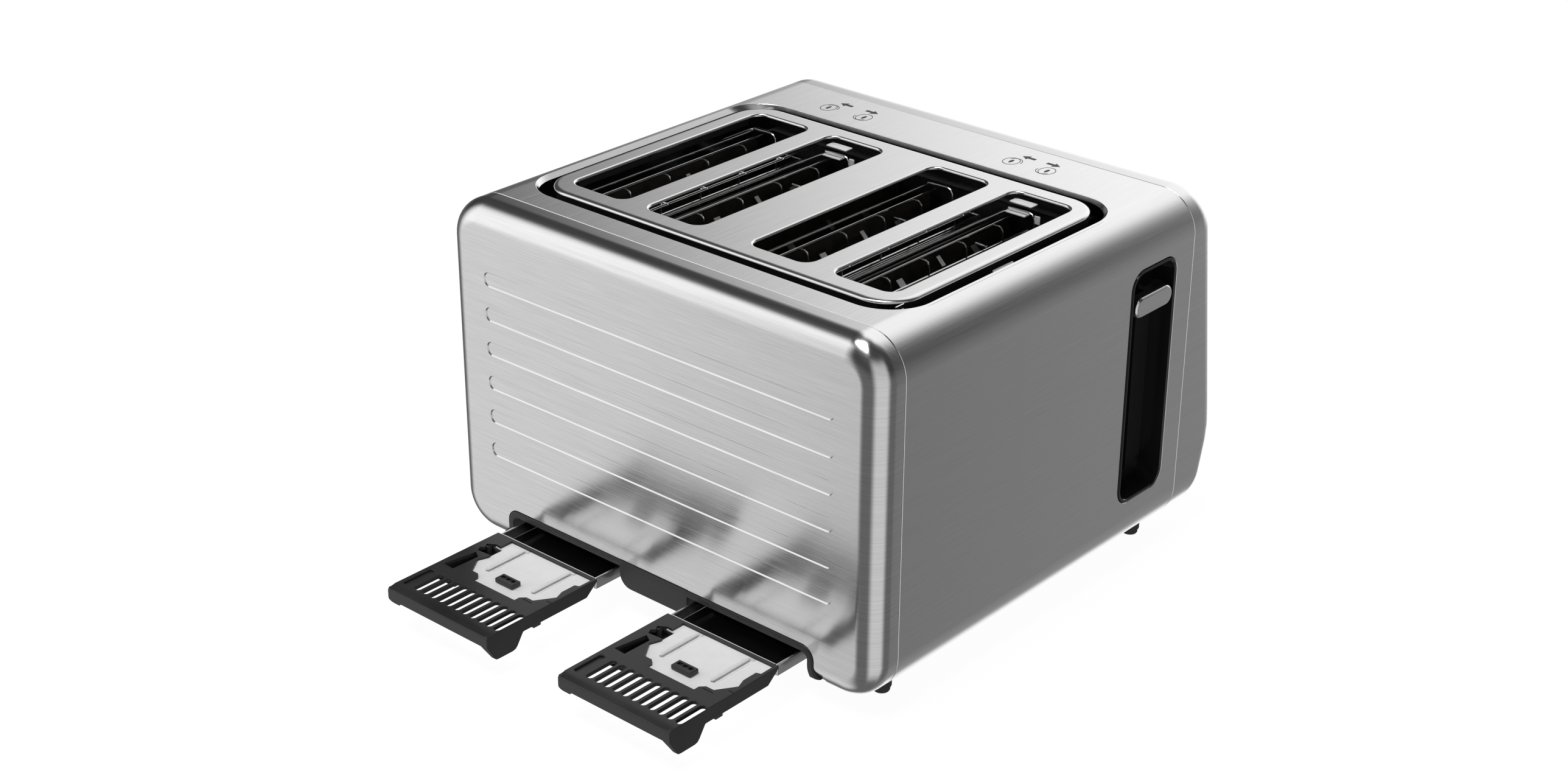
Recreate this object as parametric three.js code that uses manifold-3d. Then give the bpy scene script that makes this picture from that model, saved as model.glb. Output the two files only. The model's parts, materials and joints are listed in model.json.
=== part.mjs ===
// A four-slice pop-up toaster in a stainless-steel casing, with its two crumb trays drawn out.
// Millimetres, +Z up. X runs across the four slots, -Y is the control side and +Y the crumb tray side.
// Each half of the toaster (side -1 and side +1) has its own lift lever, controls and crumb tray.
// Y is measured here from the middle of the casing's sleeve. At the end the whole group is moved along Y,
// so that the part's origin is on the floor under the middle of everything, trays included.

import * as THREE from "three";
import { mergeVertices } from "three/addons/utils/BufferGeometryUtils.js";
import Module from "manifold-3d";

const wasm = await Module();
wasm.setup();

// ---- Driving dimensions ----

const GAP = 0.3; // between pieces that touch on the real object
const SHEET = 1.2; // casing steel
const THIN_SHEET = 0.8; // steel inside

const HALF_WIDTH = 150;
const TOP = 207.5;
const BOTTOM = 9.6;
const CORNER = 22.9; // radius of the casing's shoulders and lower edges
const SEAM_REAR = 123.5;
const SEAM_FRONT = -123.5;
const COVER_DEPTH = 18.8; // rear cover, and the front cover along its top edge
const COVER_EDGE = 12.5; // round edge between a cover's face and its sides
const FRONT_SLOPE = 0.1423; // how much further out the front face is, per mm down to its knee
const KNEE_Z = 57.5;
const TUCK_SLOPE = 0.25; // how much the front face comes back in, per mm below the knee

const RIB_COUNT = 6;
const RIB_PITCH = 20.25;
const RIB_TOP_Z = 170.5;
const RIB_HEIGHT = 8.4;
const RIB_HALF_LENGTH = 122.3;
const RIB_DEPTH = 0.6;

const OPENING_X = 131.4; // top opening of the sleeve
const OPENING_FRONT = -83.7;
const OPENING_REAR = 108.3;
const OPENING_CORNER = 26;
const OPENING_LIP = 3.3; // how far the sloping lip of the opening reaches inwards at its -X and +X sides
const OPENING_DROP = 2.7; // and down

const PLATE_GAP = 8; // dark gap round the slot plate
const SLOT_CENTRES = [-91.7, -36.8, 36.8, 91.7];
const SLOT_WIDTH = 40.6;
const SLOT_FRONT = -65;
const SLOT_REAR = 87;
const SLOT_CORNER = 7;

const HALF_CENTRE = 64.2; // X of each half's lever gear and crumb tray
const LEVER_Y = -86.8;
const LEVER_Z = 158.5; // with the lever up
const LEVER_DOWN = 100;
const LEVER_UP = 12; // extra lift that raises small slices
const LEVER_SLOT_WIDTH = 41.7;
const LEVER_SLOT_TOP = 179.9;
const LEVER_SLOT_BOTTOM = 42.5;
const LEVER_SLOT_CORNER = 10;
const LEVER_TUNNEL = 15.3; // depth of the black tunnel behind a lever slot
const KNOB_LENGTH = 34;
const KNOB_HEIGHT = 11.5;
const KNOB_THICK = 6;
const KNOB_FACE_X = 151;

const GUARD_WIRE = 0.9; // radius
const GUARD_REACH = 12.5; // uprights, from the middle of the slot
const GUARD_FLARE = 17.5; // long wire at the tops of the uprights
const GUARD_LOW = 66;
const GUARD_HIGH = 186.3;
const GUARD_TOP = 194.9;
const GUARD_UPRIGHTS = 5;
const GUARD_FIRST_Y = -44.5;
const GUARD_PITCH = 31.5;

const RACK_Z = 142.5;
const SADDLE_REACH = 10.3;
const ROD_RADIUS = 3;
const ROD_Y = -90.5;

const CHASSIS_FRONT = -70;
const CHASSIS_REAR = 91;
const CHASSIS_TOP = 196;
const CHASSIS_HALF = 119;
const FLOOR_Z = 11.2; // underside of the base
const FLOOR_THICK = 2.4;

const NOTCH_X = 111.5; // notch in the rear cover for the two trays
const NOTCH_TOP = 32.1;
const NOTCH_CORNER = 8;
const NOTCH_FLARE = 6; // the notch opens out at its lower ends
const NOTCH_FOOT = 15.3;
const TRIM_PROUD = 1.4;
const MOUTH_INNER = 25;
const TRIM_WIDTH = 3.6;
const MOUTH_TOP = 28.2;
const PILLAR_BOTTOM = 16;

const TRAY_HALF = 38.4;
const TRAY_TOP = 26;
const TRAY_FACE = 237.4; // fascia with the tray drawn out
const TRAY_WALL = 8;
const TRAY_BODY = 79; // plastic part of the tray, front to back
const TRAY_FOOT_Z = 9.6; // underside of the tall foot at the -X end of the fascia
const TRAY_FOOT_LENGTH = 25;
const TRAY_LOBE_Z = 15.8; // underside of the short lobe at its +X end
const TRAY_DECK = 1;
const GRILLE_SLOTS = 11;
const GRILLE_PITCH = 6.1;
const GRILLE_WIDTH = 3.5;
const CRUMB_PLATE_LENGTH = 170;
const CRUMB_PLATE_DROP = 1.3; // plate below the top of the tray

const FOOT_X = 129;
const FOOT_FRONT_Y = -114;
const FOOT_REAR_Y = 109.3;
const FOOT_RADIUS = 5.3;
const CORD_Y = -60;
const CORD_BUSH = 6;

const PANEL_Z = 112; // middle of the control panel, on the sloping front face
const PANEL_HALF = 122;
const PANEL_RISE = 36;
const PANEL_PROUD = 1.8;
const KNOB_DROP = -12; // browning knobs, from the middle of the panel
const BUTTON_ROW = 20;
const BUTTON_PITCH = 25;

const FRONT_TILT = Math.atan(FRONT_SLOPE);
const SIDES = [-1, 1];
const SIDE_NAMES = { "-1": "left", 1: "right" }; // as the user sees them, facing the controls

// ---- Materials ----

const brushedSteel = new THREE.MeshStandardMaterial({ color: 0xc3c4c5, roughness: 0.34, metalness: 1 });
const innerSteel = new THREE.MeshStandardMaterial({ color: 0xa9abad, roughness: 0.45, metalness: 1 });
const wireChrome = new THREE.MeshStandardMaterial({ color: 0xd2d4d6, roughness: 0.2, metalness: 1 });
const blackPlastic = new THREE.MeshStandardMaterial({ color: 0x222324, roughness: 0.5, metalness: 0 });
const glossBlack = new THREE.MeshStandardMaterial({ color: 0x0d0d0e, roughness: 0.15, metalness: 0 });
const rubber = new THREE.MeshStandardMaterial({ color: 0x161616, roughness: 0.8, metalness: 0 });
const mica = new THREE.MeshStandardMaterial({ color: 0x8d7f62, roughness: 0.6, metalness: 0 });
const circuitGreen = new THREE.MeshStandardMaterial({ color: 0x1f4a2c, roughness: 0.5, metalness: 0 });

// ---- Solids: making, joining and placing ----

const frame = new THREE.Group();
const toaster = new THREE.Group();
frame.add(toaster);

function solid(geometry) {
  const bare = geometry.index ? geometry.toNonIndexed() : geometry.clone();
  bare.deleteAttribute("normal");
  bare.deleteAttribute("uv");
  const merged = mergeVertices(bare, 1e-4);
  const vertProperties = merged.attributes.position.array;
  const triVerts = new Uint32Array(merged.index.array);
  return new wasm.Manifold(new wasm.Mesh({ numProp: 3, vertProperties, triVerts }));
}

function joined(solids) {
  return solids.reduce((whole, next) => whole.add(next));
}

function addMesh(name, shape, material, parent = toaster) {
  const { vertProperties, triVerts } = shape.getMesh();
  const geometry = new THREE.BufferGeometry();
  geometry.setAttribute("position", new THREE.BufferAttribute(vertProperties, 3));
  geometry.setIndex(new THREE.BufferAttribute(triVerts, 1));
  geometry.computeVertexNormals();
  const mesh = new THREE.Mesh(geometry, material);
  mesh.name = name;
  parent.add(mesh);
  return mesh;
}

function box(x0, x1, y0, y1, z0, z1) {
  const geometry = new THREE.BoxGeometry(x1 - x0, y1 - y0, z1 - z0);
  return solid(geometry.translate((x0 + x1) / 2, (y0 + y1) / 2, (z0 + z1) / 2));
}

// Outline with round corners, from (x0, y0) to (x1, y1) of its own plane.
function roundRect(x0, x1, y0, y1, radius) {
  const shape = new THREE.Shape();
  shape.absarc(x1 - radius, y0 + radius, radius, -Math.PI / 2, 0);
  shape.absarc(x1 - radius, y1 - radius, radius, 0, Math.PI / 2);
  shape.absarc(x0 + radius, y1 - radius, radius, Math.PI / 2, Math.PI);
  shape.absarc(x0 + radius, y0 + radius, radius, Math.PI, 1.5 * Math.PI);
  return shape;
}

function extruded(shape, depth, curveSegments, bevel) {
  const bevelSteps = bevel > 2 ? 3 : 1;
  const round = bevel
    ? { bevelSize: bevel, bevelThickness: bevel, bevelOffset: -bevel, bevelSegments: bevelSteps }
    : { bevelEnabled: false };
  return new THREE.ExtrudeGeometry(shape, { depth: depth - 2 * (bevel || 0), curveSegments, ...round });
}

// Outline drawn in X and Y, standing from z0 to z1.
function alongZ(shape, z0, z1, curveSegments = 3, bevel = 0) {
  return solid(extruded(shape, z1 - z0, curveSegments, bevel).translate(0, 0, z0 + bevel));
}

// Outline drawn in X and Z, running from y0 to y1.
function alongY(shape, y0, y1, curveSegments = 3, bevel = 0) {
  const geometry = extruded(shape, y1 - y0, curveSegments, bevel).rotateX(Math.PI / 2);
  return solid(geometry.translate(0, y1 - bevel, 0));
}

// Outline drawn in Y and Z, running from x0 to x1.
function alongX(shape, x0, x1, curveSegments = 3, bevel = 0) {
  const turn = new THREE.Matrix4().set(0, 0, 1, 0, 1, 0, 0, 0, 0, 1, 0, 0, 0, 0, 0, 1);
  const geometry = extruded(shape, x1 - x0, curveSegments, bevel).applyMatrix4(turn);
  return solid(geometry.translate(x0 + bevel, 0, 0));
}

// Round bar between two points.
function rod(from, to, radius, sides = 6) {
  const start = new THREE.Vector3(...from);
  const span = new THREE.Vector3(...to).sub(start);
  const geometry = new THREE.CylinderGeometry(radius, radius, span.length(), sides);
  const turn = new THREE.Quaternion();
  turn.setFromUnitVectors(new THREE.Vector3(0, 1, 0), span.clone().normalize());
  return solid(geometry.applyQuaternion(turn).translate(...start.addScaledVector(span, 0.5).toArray()));
}

// Turned body about a Y axis: profile points are [radius, distance towards -Y].
function turned(profile, sides = 24) {
  const points = profile.map(([radius, out]) => new THREE.Vector2(radius, out));
  return solid(new THREE.LatheGeometry(points, sides).rotateX(Math.PI));
}

// Nose of the front cover: how far the face stands in front of the seam at a height.
function frontDepth(z) {
  const slope = COVER_DEPTH + FRONT_SLOPE * (TOP - z);
  const knee = COVER_DEPTH + FRONT_SLOPE * (TOP - KNEE_Z);
  const tuck = knee - TUCK_SLOPE * (KNEE_Z - z);
  return Math.min(slope, tuck);
}

// ---- Casing ----

// One ring of a cover: a rounded rectangle drawn in X and Z, mirrored left to right.
function coverRing(inset, yAt) {
  const radius = Math.max(CORNER - inset, 1);
  const x = HALF_WIDTH - inset - radius;
  const upper = TOP - inset - radius;
  const lower = BOTTOM + inset + radius;
  const steps = 5;
  const half = [];
  for (let i = 0; i <= steps; i++) {
    const turn = (Math.PI / 2) * (1 - i / steps);
    half.push([x + radius * Math.cos(turn), upper + radius * Math.sin(turn)]);
  }
  half.push([x + radius, KNEE_Z + 7], [x + radius, KNEE_Z], [x + radius, KNEE_Z - 7]);
  for (let i = 0; i <= steps; i++) {
    const turn = (-Math.PI / 2) * (i / steps);
    half.push([x + radius * Math.cos(turn), lower + radius * Math.sin(turn)]);
  }
  const mirrored = half.map(([px, pz]) => [-px, pz]).reverse();
  return [...half, ...mirrored].map(([px, pz]) => [px, yAt(pz), pz]);
}

// Closed body of a cover from its seam to its face. `outward` is +1 for the rear and -1 for the front.
function coverBody(seam, outward, depthAt, wall) {
  const edge = COVER_EDGE - wall;
  const start = seam - outward * (wall > 0 ? 1 : 0);
  const rings = [coverRing(wall, () => start)];
  const steps = 4;
  for (let i = 0; i <= steps; i++) {
    const turn = (Math.PI / 2) * (i / steps);
    const inset = wall + edge * (1 - Math.cos(turn));
    const short = wall + edge * (1 - Math.sin(turn));
    rings.push(coverRing(inset, (z) => seam + outward * (depthAt(z) - short)));
  }
  const count = rings[0].length;
  const half = count / 2;
  const faces = [];
  const quad = (a, b, c, d) => faces.push([a, b, c], [a, c, d]);
  rings.slice(1).forEach((_, r) => {
    for (let i = 0; i < count; i++) {
      const j = (i + 1) % count;
      quad(r * count + i, r * count + j, (r + 1) * count + j, (r + 1) * count + i);
    }
  });
  const last = (rings.length - 1) * count;
  for (let i = 0; i < half - 1; i++) {
    quad(last + i, last + i + 1, last + count - 2 - i, last + count - 1 - i);
    quad(i, count - 1 - i, count - 2 - i, i + 1);
  }
  const geometry = new THREE.BufferGeometry();
  geometry.setAttribute("position", new THREE.Float32BufferAttribute(rings.flat(2), 3));
  geometry.setIndex(faces.map((face) => (outward > 0 ? face : [...face].reverse())).flat());
  return solid(geometry);
}

function coverShell(seam, outward, depthAt) {
  return coverBody(seam, outward, depthAt, 0).subtract(coverBody(seam, outward, depthAt, SHEET));
}

function middleShell() {
  const outline = roundRect(-HALF_WIDTH, HALF_WIDTH, BOTTOM, TOP, CORNER);
  const inner = HALF_WIDTH - SHEET;
  const hollow = roundRect(-inner, inner, BOTTOM + SHEET, TOP - SHEET, CORNER - SHEET);
  const sleeve = alongY(outline, SEAM_FRONT + GAP, SEAM_REAR - GAP).subtract(
    alongY(hollow, SEAM_FRONT - 1, SEAM_REAR + 1),
  );
  const low = TOP - OPENING_DROP;
  const flange = wasm.Manifold.hull([
    alongZ(openingOutline(OPENING_LIP - SHEET, -SHEET), low, low + 0.1),
    alongZ(openingOutline(-SHEET), TOP - SHEET / 2 - 0.1, TOP - SHEET / 2),
  ]);
  const mouth = wasm.Manifold.hull([
    alongZ(openingOutline(OPENING_LIP, 0.4), low - 2, low),
    alongZ(openingOutline(0), TOP, TOP + 1),
  ]);
  let shell = sleeve.add(flange).subtract(mouth);
  shell = shell.subtract(box(-105, 105, SEAM_FRONT - 1, SEAM_REAR + 1, BOTTOM - 1, BOTTOM + 2));
  const leverHole = leverSlotOutline(GAP);
  for (const side of SIDES) {
    const from = side * (HALF_WIDTH + 1);
    const to = side * (HALF_WIDTH - 3);
    shell = shell.subtract(alongX(leverHole, Math.min(from, to), Math.max(from, to)));
  }
  return shell;
}

function openingOutline(insetX, insetY = insetX) {
  return roundRect(
    -OPENING_X + insetX,
    OPENING_X - insetX,
    OPENING_FRONT + insetY,
    OPENING_REAR - insetY,
    OPENING_CORNER - insetX,
  );
}

function leverSlotOutline(grow) {
  const half = LEVER_SLOT_WIDTH / 2 + grow;
  const corner = LEVER_SLOT_CORNER + grow;
  return roundRect(
    LEVER_Y - half,
    LEVER_Y + half,
    LEVER_SLOT_BOTTOM - grow,
    LEVER_SLOT_TOP + grow,
    corner,
  );
}

function rearCover() {
  let cover = coverShell(SEAM_REAR, 1, () => COVER_DEPTH);
  const face = SEAM_REAR + COVER_DEPTH;
  for (let i = 0; i < RIB_COUNT; i++) {
    const z = RIB_TOP_Z - i * RIB_PITCH;
    const rib = roundRect(-RIB_HALF_LENGTH, RIB_HALF_LENGTH, z - RIB_HEIGHT, z, 3.5);
    cover = cover.subtract(alongY(rib, face - RIB_DEPTH, face + 1, 2));
  }
  return cover.subtract(alongY(notchOutline(0), SEAM_REAR - 5, face + 5));
}

// Opening for the trays, drawn in X and Z: round upper corners and lower ends that flare outwards.
function notchOutline(inset) {
  const x = NOTCH_X - inset;
  const top = NOTCH_TOP - inset;
  const corner = NOTCH_CORNER - inset;
  const flare = NOTCH_FLARE + inset;
  const bend = NOTCH_FOOT + NOTCH_FLARE;
  const shape = new THREE.Shape();
  shape.moveTo(x + flare, BOTTOM - 20);
  shape.absarc(x + flare, bend, flare, -Math.PI / 2, -Math.PI, true);
  shape.absarc(x - corner, top - corner, corner, 0, Math.PI / 2);
  shape.absarc(-x + corner, top - corner, corner, Math.PI / 2, Math.PI);
  shape.absarc(-x - flare, bend, flare, 0, -Math.PI / 2, true);
  shape.lineTo(-x - flare, BOTTOM - 20);
  return shape;
}

function frontCover() {
  const cover = coverShell(SEAM_FRONT, -1, frontDepth);
  const window = roundRect(-PANEL_HALF + 6, PANEL_HALF - 6, -PANEL_RISE + 6, PANEL_RISE - 6, 6);
  return cover.subtract(onFront(alongY(window, -12, 6)));
}

// Black trim that lines the notch, with a mouth for each tray and a pillar between them.
function traySurround() {
  const back = SEAM_REAR + 1.5;
  const face = SEAM_REAR + COVER_DEPTH + TRIM_PROUD;
  const outer = NOTCH_X + NOTCH_FLARE - GAP;
  const ring = alongY(notchOutline(GAP), back, face)
    .subtract(alongY(notchOutline(GAP + TRIM_WIDTH), back - 1, face + 1))
    .intersect(box(-outer, outer, back - 1, face + 1, NOTCH_FOOT, NOTCH_TOP));
  const reach = NOTCH_X - TRIM_WIDTH / 2;
  const lintel = box(-reach, reach, back, face, MOUTH_TOP, NOTCH_TOP - TRIM_WIDTH / 2);
  const pillar = alongY(roundRect(-MOUTH_INNER, MOUTH_INNER, PILLAR_BOTTOM, NOTCH_TOP + 9, 8), back, face);
  const inside = alongY(notchOutline(GAP + 0.1), back - 1, face + 1);
  return joined([ring, lintel.add(pillar).intersect(inside)]);
}

// ---- Base, feet and cord bush ----

function base() {
  const rear = SEAM_REAR - 8;
  const floor = alongZ(roundRect(-124, 124, SEAM_FRONT + 4, rear, 6), FLOOR_Z, FLOOR_Z + FLOOR_THICK, 2);
  const rails = [];
  for (const side of SIDES) {
    for (const hand of SIDES) {
      const x = side * HALF_CENTRE + hand * (TRAY_HALF + 2);
      rails.push(box(x - 1, x + 1, -60, rear, FLOOR_Z + 1, TRAY_TOP + 1));
    }
    rails.push(box(side * 122 - 1.2, side * 122 + 1.2, SEAM_FRONT + 12, rear - 8, FLOOR_Z + 1, 30));
  }
  const front = box(-122, 122, SEAM_FRONT + 10, SEAM_FRONT + 12.4, FLOOR_Z + 1, 30);
  let body = joined([floor, ...rails, front]);
  for (const side of SIDES) {
    const x = side * HALF_CENTRE;
    body = body.subtract(box(x - 36, x + 36, rear - 14, rear + 1, FLOOR_Z - 1, FLOOR_Z + 4));
  }
  return body.subtract(rod([0, CORD_Y, FLOOR_Z - 2], [0, CORD_Y, FLOOR_Z + 6], CORD_BUSH + GAP, 14));
}

// Flanged bush in the floor that the supply cord would pass through.
function cordBush() {
  const profile = [
    [3.6, -1.4],
    [8.4, -1.4],
    [8.4, -GAP],
    [CORD_BUSH, -GAP],
    [CORD_BUSH, 6],
    [3.6, 6],
    [3.6, -1.4],
  ].map(([radius, height]) => new THREE.Vector2(radius, height));
  return solid(new THREE.LatheGeometry(profile, 14).rotateX(Math.PI / 2).translate(0, CORD_Y, FLOOR_Z));
}

function foot(x, y) {
  const profile = [
    [0, 0],
    [FOOT_RADIUS - 1, 0],
    [FOOT_RADIUS - 0.6, 3],
    [FOOT_RADIUS, 3.4],
    [FOOT_RADIUS, BOTTOM - GAP],
    [0, BOTTOM - GAP],
  ].map(([radius, height]) => new THREE.Vector2(radius, height));
  return solid(new THREE.LatheGeometry(profile, 12).rotateX(Math.PI / 2).translate(x, y, 0));
}

// ---- Slot plate ----

function topPlate() {
  const x = OPENING_X - PLATE_GAP;
  const front = OPENING_FRONT + PLATE_GAP;
  const rear = OPENING_REAR - PLATE_GAP;
  const corner = OPENING_CORNER - PLATE_GAP + 2;
  const top = TOP + 0.4;
  const block = alongZ(roundRect(-x, x, front, rear, corner), TOP - 8, top, 3, 2.6);
  const inner = roundRect(-x + SHEET, x - SHEET, front + SHEET, rear - SHEET, corner - SHEET);
  const cavity = alongZ(inner, TOP - 9, top - SHEET, 3, 1.6);
  let plate = block.subtract(cavity).intersect(box(-200, 200, -200, 200, TOP - 4.5, TOP + 5));
  for (const centre of SLOT_CENTRES) {
    plate = plate.add(alongZ(slotOutline(centre, -SHEET), TOP - 3.6, top - 0.4, 2));
  }
  for (const centre of SLOT_CENTRES) {
    plate = plate.subtract(alongZ(slotOutline(centre, 0), TOP - 9, TOP + 5, 2));
  }
  const hanger = (side) => {
    const from = side * (x - 8);
    const to = side * (x + 5);
    return box(Math.min(from, to), Math.max(from, to), 12, 29, TOP - 7, TOP - 5.6).add(
      box(side * (x - 6) - 1, side * (x - 6) + 1, 12, 29, TOP - 6, TOP - 0.5),
    );
  };
  return joined([plate, hanger(-1), hanger(1)]);
}

function slotOutline(centre, inset) {
  const half = SLOT_WIDTH / 2 - 1.2 - inset;
  return roundRect(centre - half, centre + half, SLOT_FRONT + inset, SLOT_REAR - inset, SLOT_CORNER - inset);
}

// ---- Heating chamber ----

function chassisFront() {
  const y = CHASSIS_FRONT;
  const plate = box(-CHASSIS_HALF, CHASSIS_HALF, y - THIN_SHEET, y, FLOOR_Z + FLOOR_THICK + GAP, CHASSIS_TOP);
  const shelf = box(-110, 110, y - 34, y, CHASSIS_TOP - THIN_SHEET, CHASSIS_TOP);
  let chassis = plate.add(shelf);
  const low = RACK_Z - LEVER_DOWN - 7;
  const high = RACK_Z + LEVER_UP + 7;
  for (const centre of SLOT_CENTRES) {
    const slit = roundRect(centre - 3.5, centre + 3.5, low, high, 3);
    chassis = chassis.subtract(alongY(slit, y - 2, y + 1, 1));
  }
  for (const side of SIDES) {
    const x = side * HALF_CENTRE;
    chassis = chassis.subtract(box(x - 40.5, x + 40.5, y - 2, y + 1, FLOOR_Z, TRAY_TOP + 1.5));
  }
  return chassis;
}

function chassisRear() {
  const y = CHASSIS_REAR;
  let plate = box(-CHASSIS_HALF, CHASSIS_HALF, y, y + THIN_SHEET, FLOOR_Z + FLOOR_THICK + GAP, CHASSIS_TOP);
  for (const side of SIDES) {
    const x = side * HALF_CENTRE;
    plate = plate.subtract(box(x - 42, x + 42, y - 1, y + 2, FLOOR_Z, TRAY_TOP + 2));
  }
  return plate;
}

function heaterBoard(x) {
  const front = CHASSIS_FRONT + 1;
  const rear = CHASSIS_REAR - 1;
  let board = box(x - 0.8, x + 0.8, front, rear, 48, 192);
  const notches = 3;
  for (let i = 0; i < notches; i++) {
    const z = 72 + (i * 96) / (notches - 1);
    board = board.subtract(box(x - 2, x + 2, front - 1, front + 4, z - 3, z + 3));
    board = board.subtract(box(x - 2, x + 2, rear - 4, rear + 1, z - 3, z + 3));
  }
  return board;
}

// Wire cage of one slot: uprights that lean outwards to a long wire at their tops, two more long wires
// a side, and ties at the ends.
function breadGuard(centre) {
  const front = SLOT_FRONT - 2;
  const rear = SLOT_REAR + 1;
  const levels = [GUARD_LOW, GUARD_HIGH];
  const pieces = [];
  for (const side of SIDES) {
    const x = centre + side * GUARD_REACH;
    const flare = centre + side * GUARD_FLARE;
    for (const z of levels) pieces.push(rod([x, front, z], [x, rear, z], GUARD_WIRE, 4));
    pieces.push(rod([flare, front, GUARD_TOP], [flare, rear, GUARD_TOP], GUARD_WIRE, 4));
    for (let i = 0; i < GUARD_UPRIGHTS; i++) {
      const y = GUARD_FIRST_Y + i * GUARD_PITCH;
      pieces.push(rod([x, y, GUARD_LOW - 8], [x, y, GUARD_HIGH + 2], GUARD_WIRE, 4));
      pieces.push(rod([x, y, GUARD_HIGH + 1.6], [flare, y, GUARD_TOP], GUARD_WIRE, 4));
    }
  }
  const left = centre - GUARD_REACH;
  const right = centre + GUARD_REACH;
  pieces.push(rod([left, front + 0.6, GUARD_HIGH], [right, front + 0.6, GUARD_HIGH], GUARD_WIRE, 4));
  for (const z of levels) pieces.push(rod([left, rear - 0.6, z], [right, rear - 0.6, z], GUARD_WIRE, 4));
  return joined(pieces);
}

// ---- Lever gear ----

// Black tunnel behind a lever slot, with a slit in its back for the lever's arm.
function leverBezel(side) {
  const front = side * (HALF_WIDTH + 0.5);
  const back = side * (HALF_WIDTH - LEVER_TUNNEL);
  const body = alongX(leverSlotOutline(0), Math.min(front, back), Math.max(front, back));
  const floor = side * (HALF_WIDTH - LEVER_TUNNEL + 2);
  const beyond = side * (HALF_WIDTH + 5);
  const hollow = alongX(leverSlotOutline(-2), Math.min(floor, beyond), Math.max(floor, beyond));
  const slit = roundRect(LEVER_Y - 5, LEVER_Y + 5, LEVER_Z - LEVER_DOWN - 7, LEVER_Z + LEVER_UP + 7, 3);
  const through = side * (HALF_WIDTH - LEVER_TUNNEL - 5);
  return body.subtract(hollow).subtract(alongX(slit, Math.min(floor, through), Math.max(floor, through), 1));
}

function leverKnob(side) {
  const half = KNOB_LENGTH / 2;
  const rise = KNOB_HEIGHT / 2;
  const outline = roundRect(LEVER_Y - half, LEVER_Y + half, LEVER_Z - rise, LEVER_Z + rise, rise - 0.05);
  const face = side * KNOB_FACE_X;
  const back = side * (KNOB_FACE_X - KNOB_THICK);
  return alongX(outline, Math.min(face, back), Math.max(face, back), 4, 0.9);
}

// Steel carriage: a plate across both racks, a hub on the guide rod and the arm that carries the knob.
function carriage(side) {
  const inner = side * 32;
  const outer = side * 98;
  const arm = side * (KNOB_FACE_X - KNOB_THICK - GAP);
  const x = side * HALF_CENTRE;
  const plate = box(Math.min(inner, outer), Math.max(inner, outer), -84.6, -82.8, 138, 162);
  const lip = box(Math.min(inner, outer), Math.max(inner, outer), -95, -83, 138, 139.8);
  const hub = box(x - 6.5, x + 6.5, -97, -83.5, 138, 162);
  const reach = box(Math.min(side * 90, arm), Math.max(side * 90, arm), -90, -83.6, 155.5, 161.5);
  const bore = rod([x, ROD_Y, 130], [x, ROD_Y, 170], ROD_RADIUS + 0.6, 16);
  return joined([plate, lip, hub, reach]).subtract(bore);
}

// Bread rack: a bar along the slot with saddles that the slice stands on.
function breadRack(centre) {
  const front = -82.5;
  const rear = SLOT_REAR - 7;
  const pieces = [box(centre - 1.5, centre + 1.5, front, rear, RACK_Z - 3, RACK_Z + 2)];
  for (let i = 0; i < 6; i++) {
    const y = SLOT_FRONT + 6 + (i * (rear - SLOT_FRONT - 12)) / 5;
    pieces.push(box(centre - SADDLE_REACH, centre + SADDLE_REACH, y - 1, y + 1, RACK_Z - 0.5, RACK_Z + 1.2));
  }
  return joined(pieces);
}

function guideRod(side) {
  const x = side * HALF_CENTRE;
  const low = FLOOR_Z + FLOOR_THICK + GAP;
  return rod([x, ROD_Y, low], [x, ROD_Y, CHASSIS_TOP - THIN_SHEET - GAP], ROD_RADIUS, 12);
}

// Coil spring round the guide rod that lifts the carriage.
class Helix extends THREE.Curve {
  constructor(x, y, low, high, radius, turns) {
    super();
    Object.assign(this, { x, y, low, high, radius, turns });
  }
  getPoint(t) {
    const turn = 2 * Math.PI * this.turns * t;
    const z = THREE.MathUtils.lerp(this.low, this.high, t);
    return new THREE.Vector3(
      this.x + this.radius * Math.cos(turn),
      this.y + this.radius * Math.sin(turn),
      z,
    );
  }
}

function liftSpring(side) {
  const turns = 7;
  const wire = 0.6;
  const low = FLOOR_Z + FLOOR_THICK + GAP + wire + 0.2;
  const path = new Helix(side * HALF_CENTRE, ROD_Y, low, 138 - GAP - wire - 0.2, 4.8, turns);
  const section = new THREE.Shape();
  section.absarc(0, 0, wire, 0, 2 * Math.PI);
  return solid(
    new THREE.ExtrudeGeometry(section, { steps: turns * 7, extrudePath: path, curveSegments: 2 }),
  );
}

function electromagnet(side) {
  const x = side * 44;
  const low = FLOOR_Z + FLOOR_THICK + GAP;
  const core = box(x - 7, x + 7, -96, -84, low, low + 18);
  return core.add(box(x - 4, x + 4, -93, -87, low, low + 20));
}

// ---- Control side ----

// Moves a body drawn about the front panel's middle, with its face at Y = 0, onto the sloping front.
function onFront(body) {
  const turn = new THREE.Matrix4().makeRotationX(-FRONT_TILT);
  const place = new THREE.Matrix4().makeTranslation(0, SEAM_FRONT - frontDepth(PANEL_Z), PANEL_Z);
  return body.transform(place.multiply(turn).toArray());
}

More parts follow.
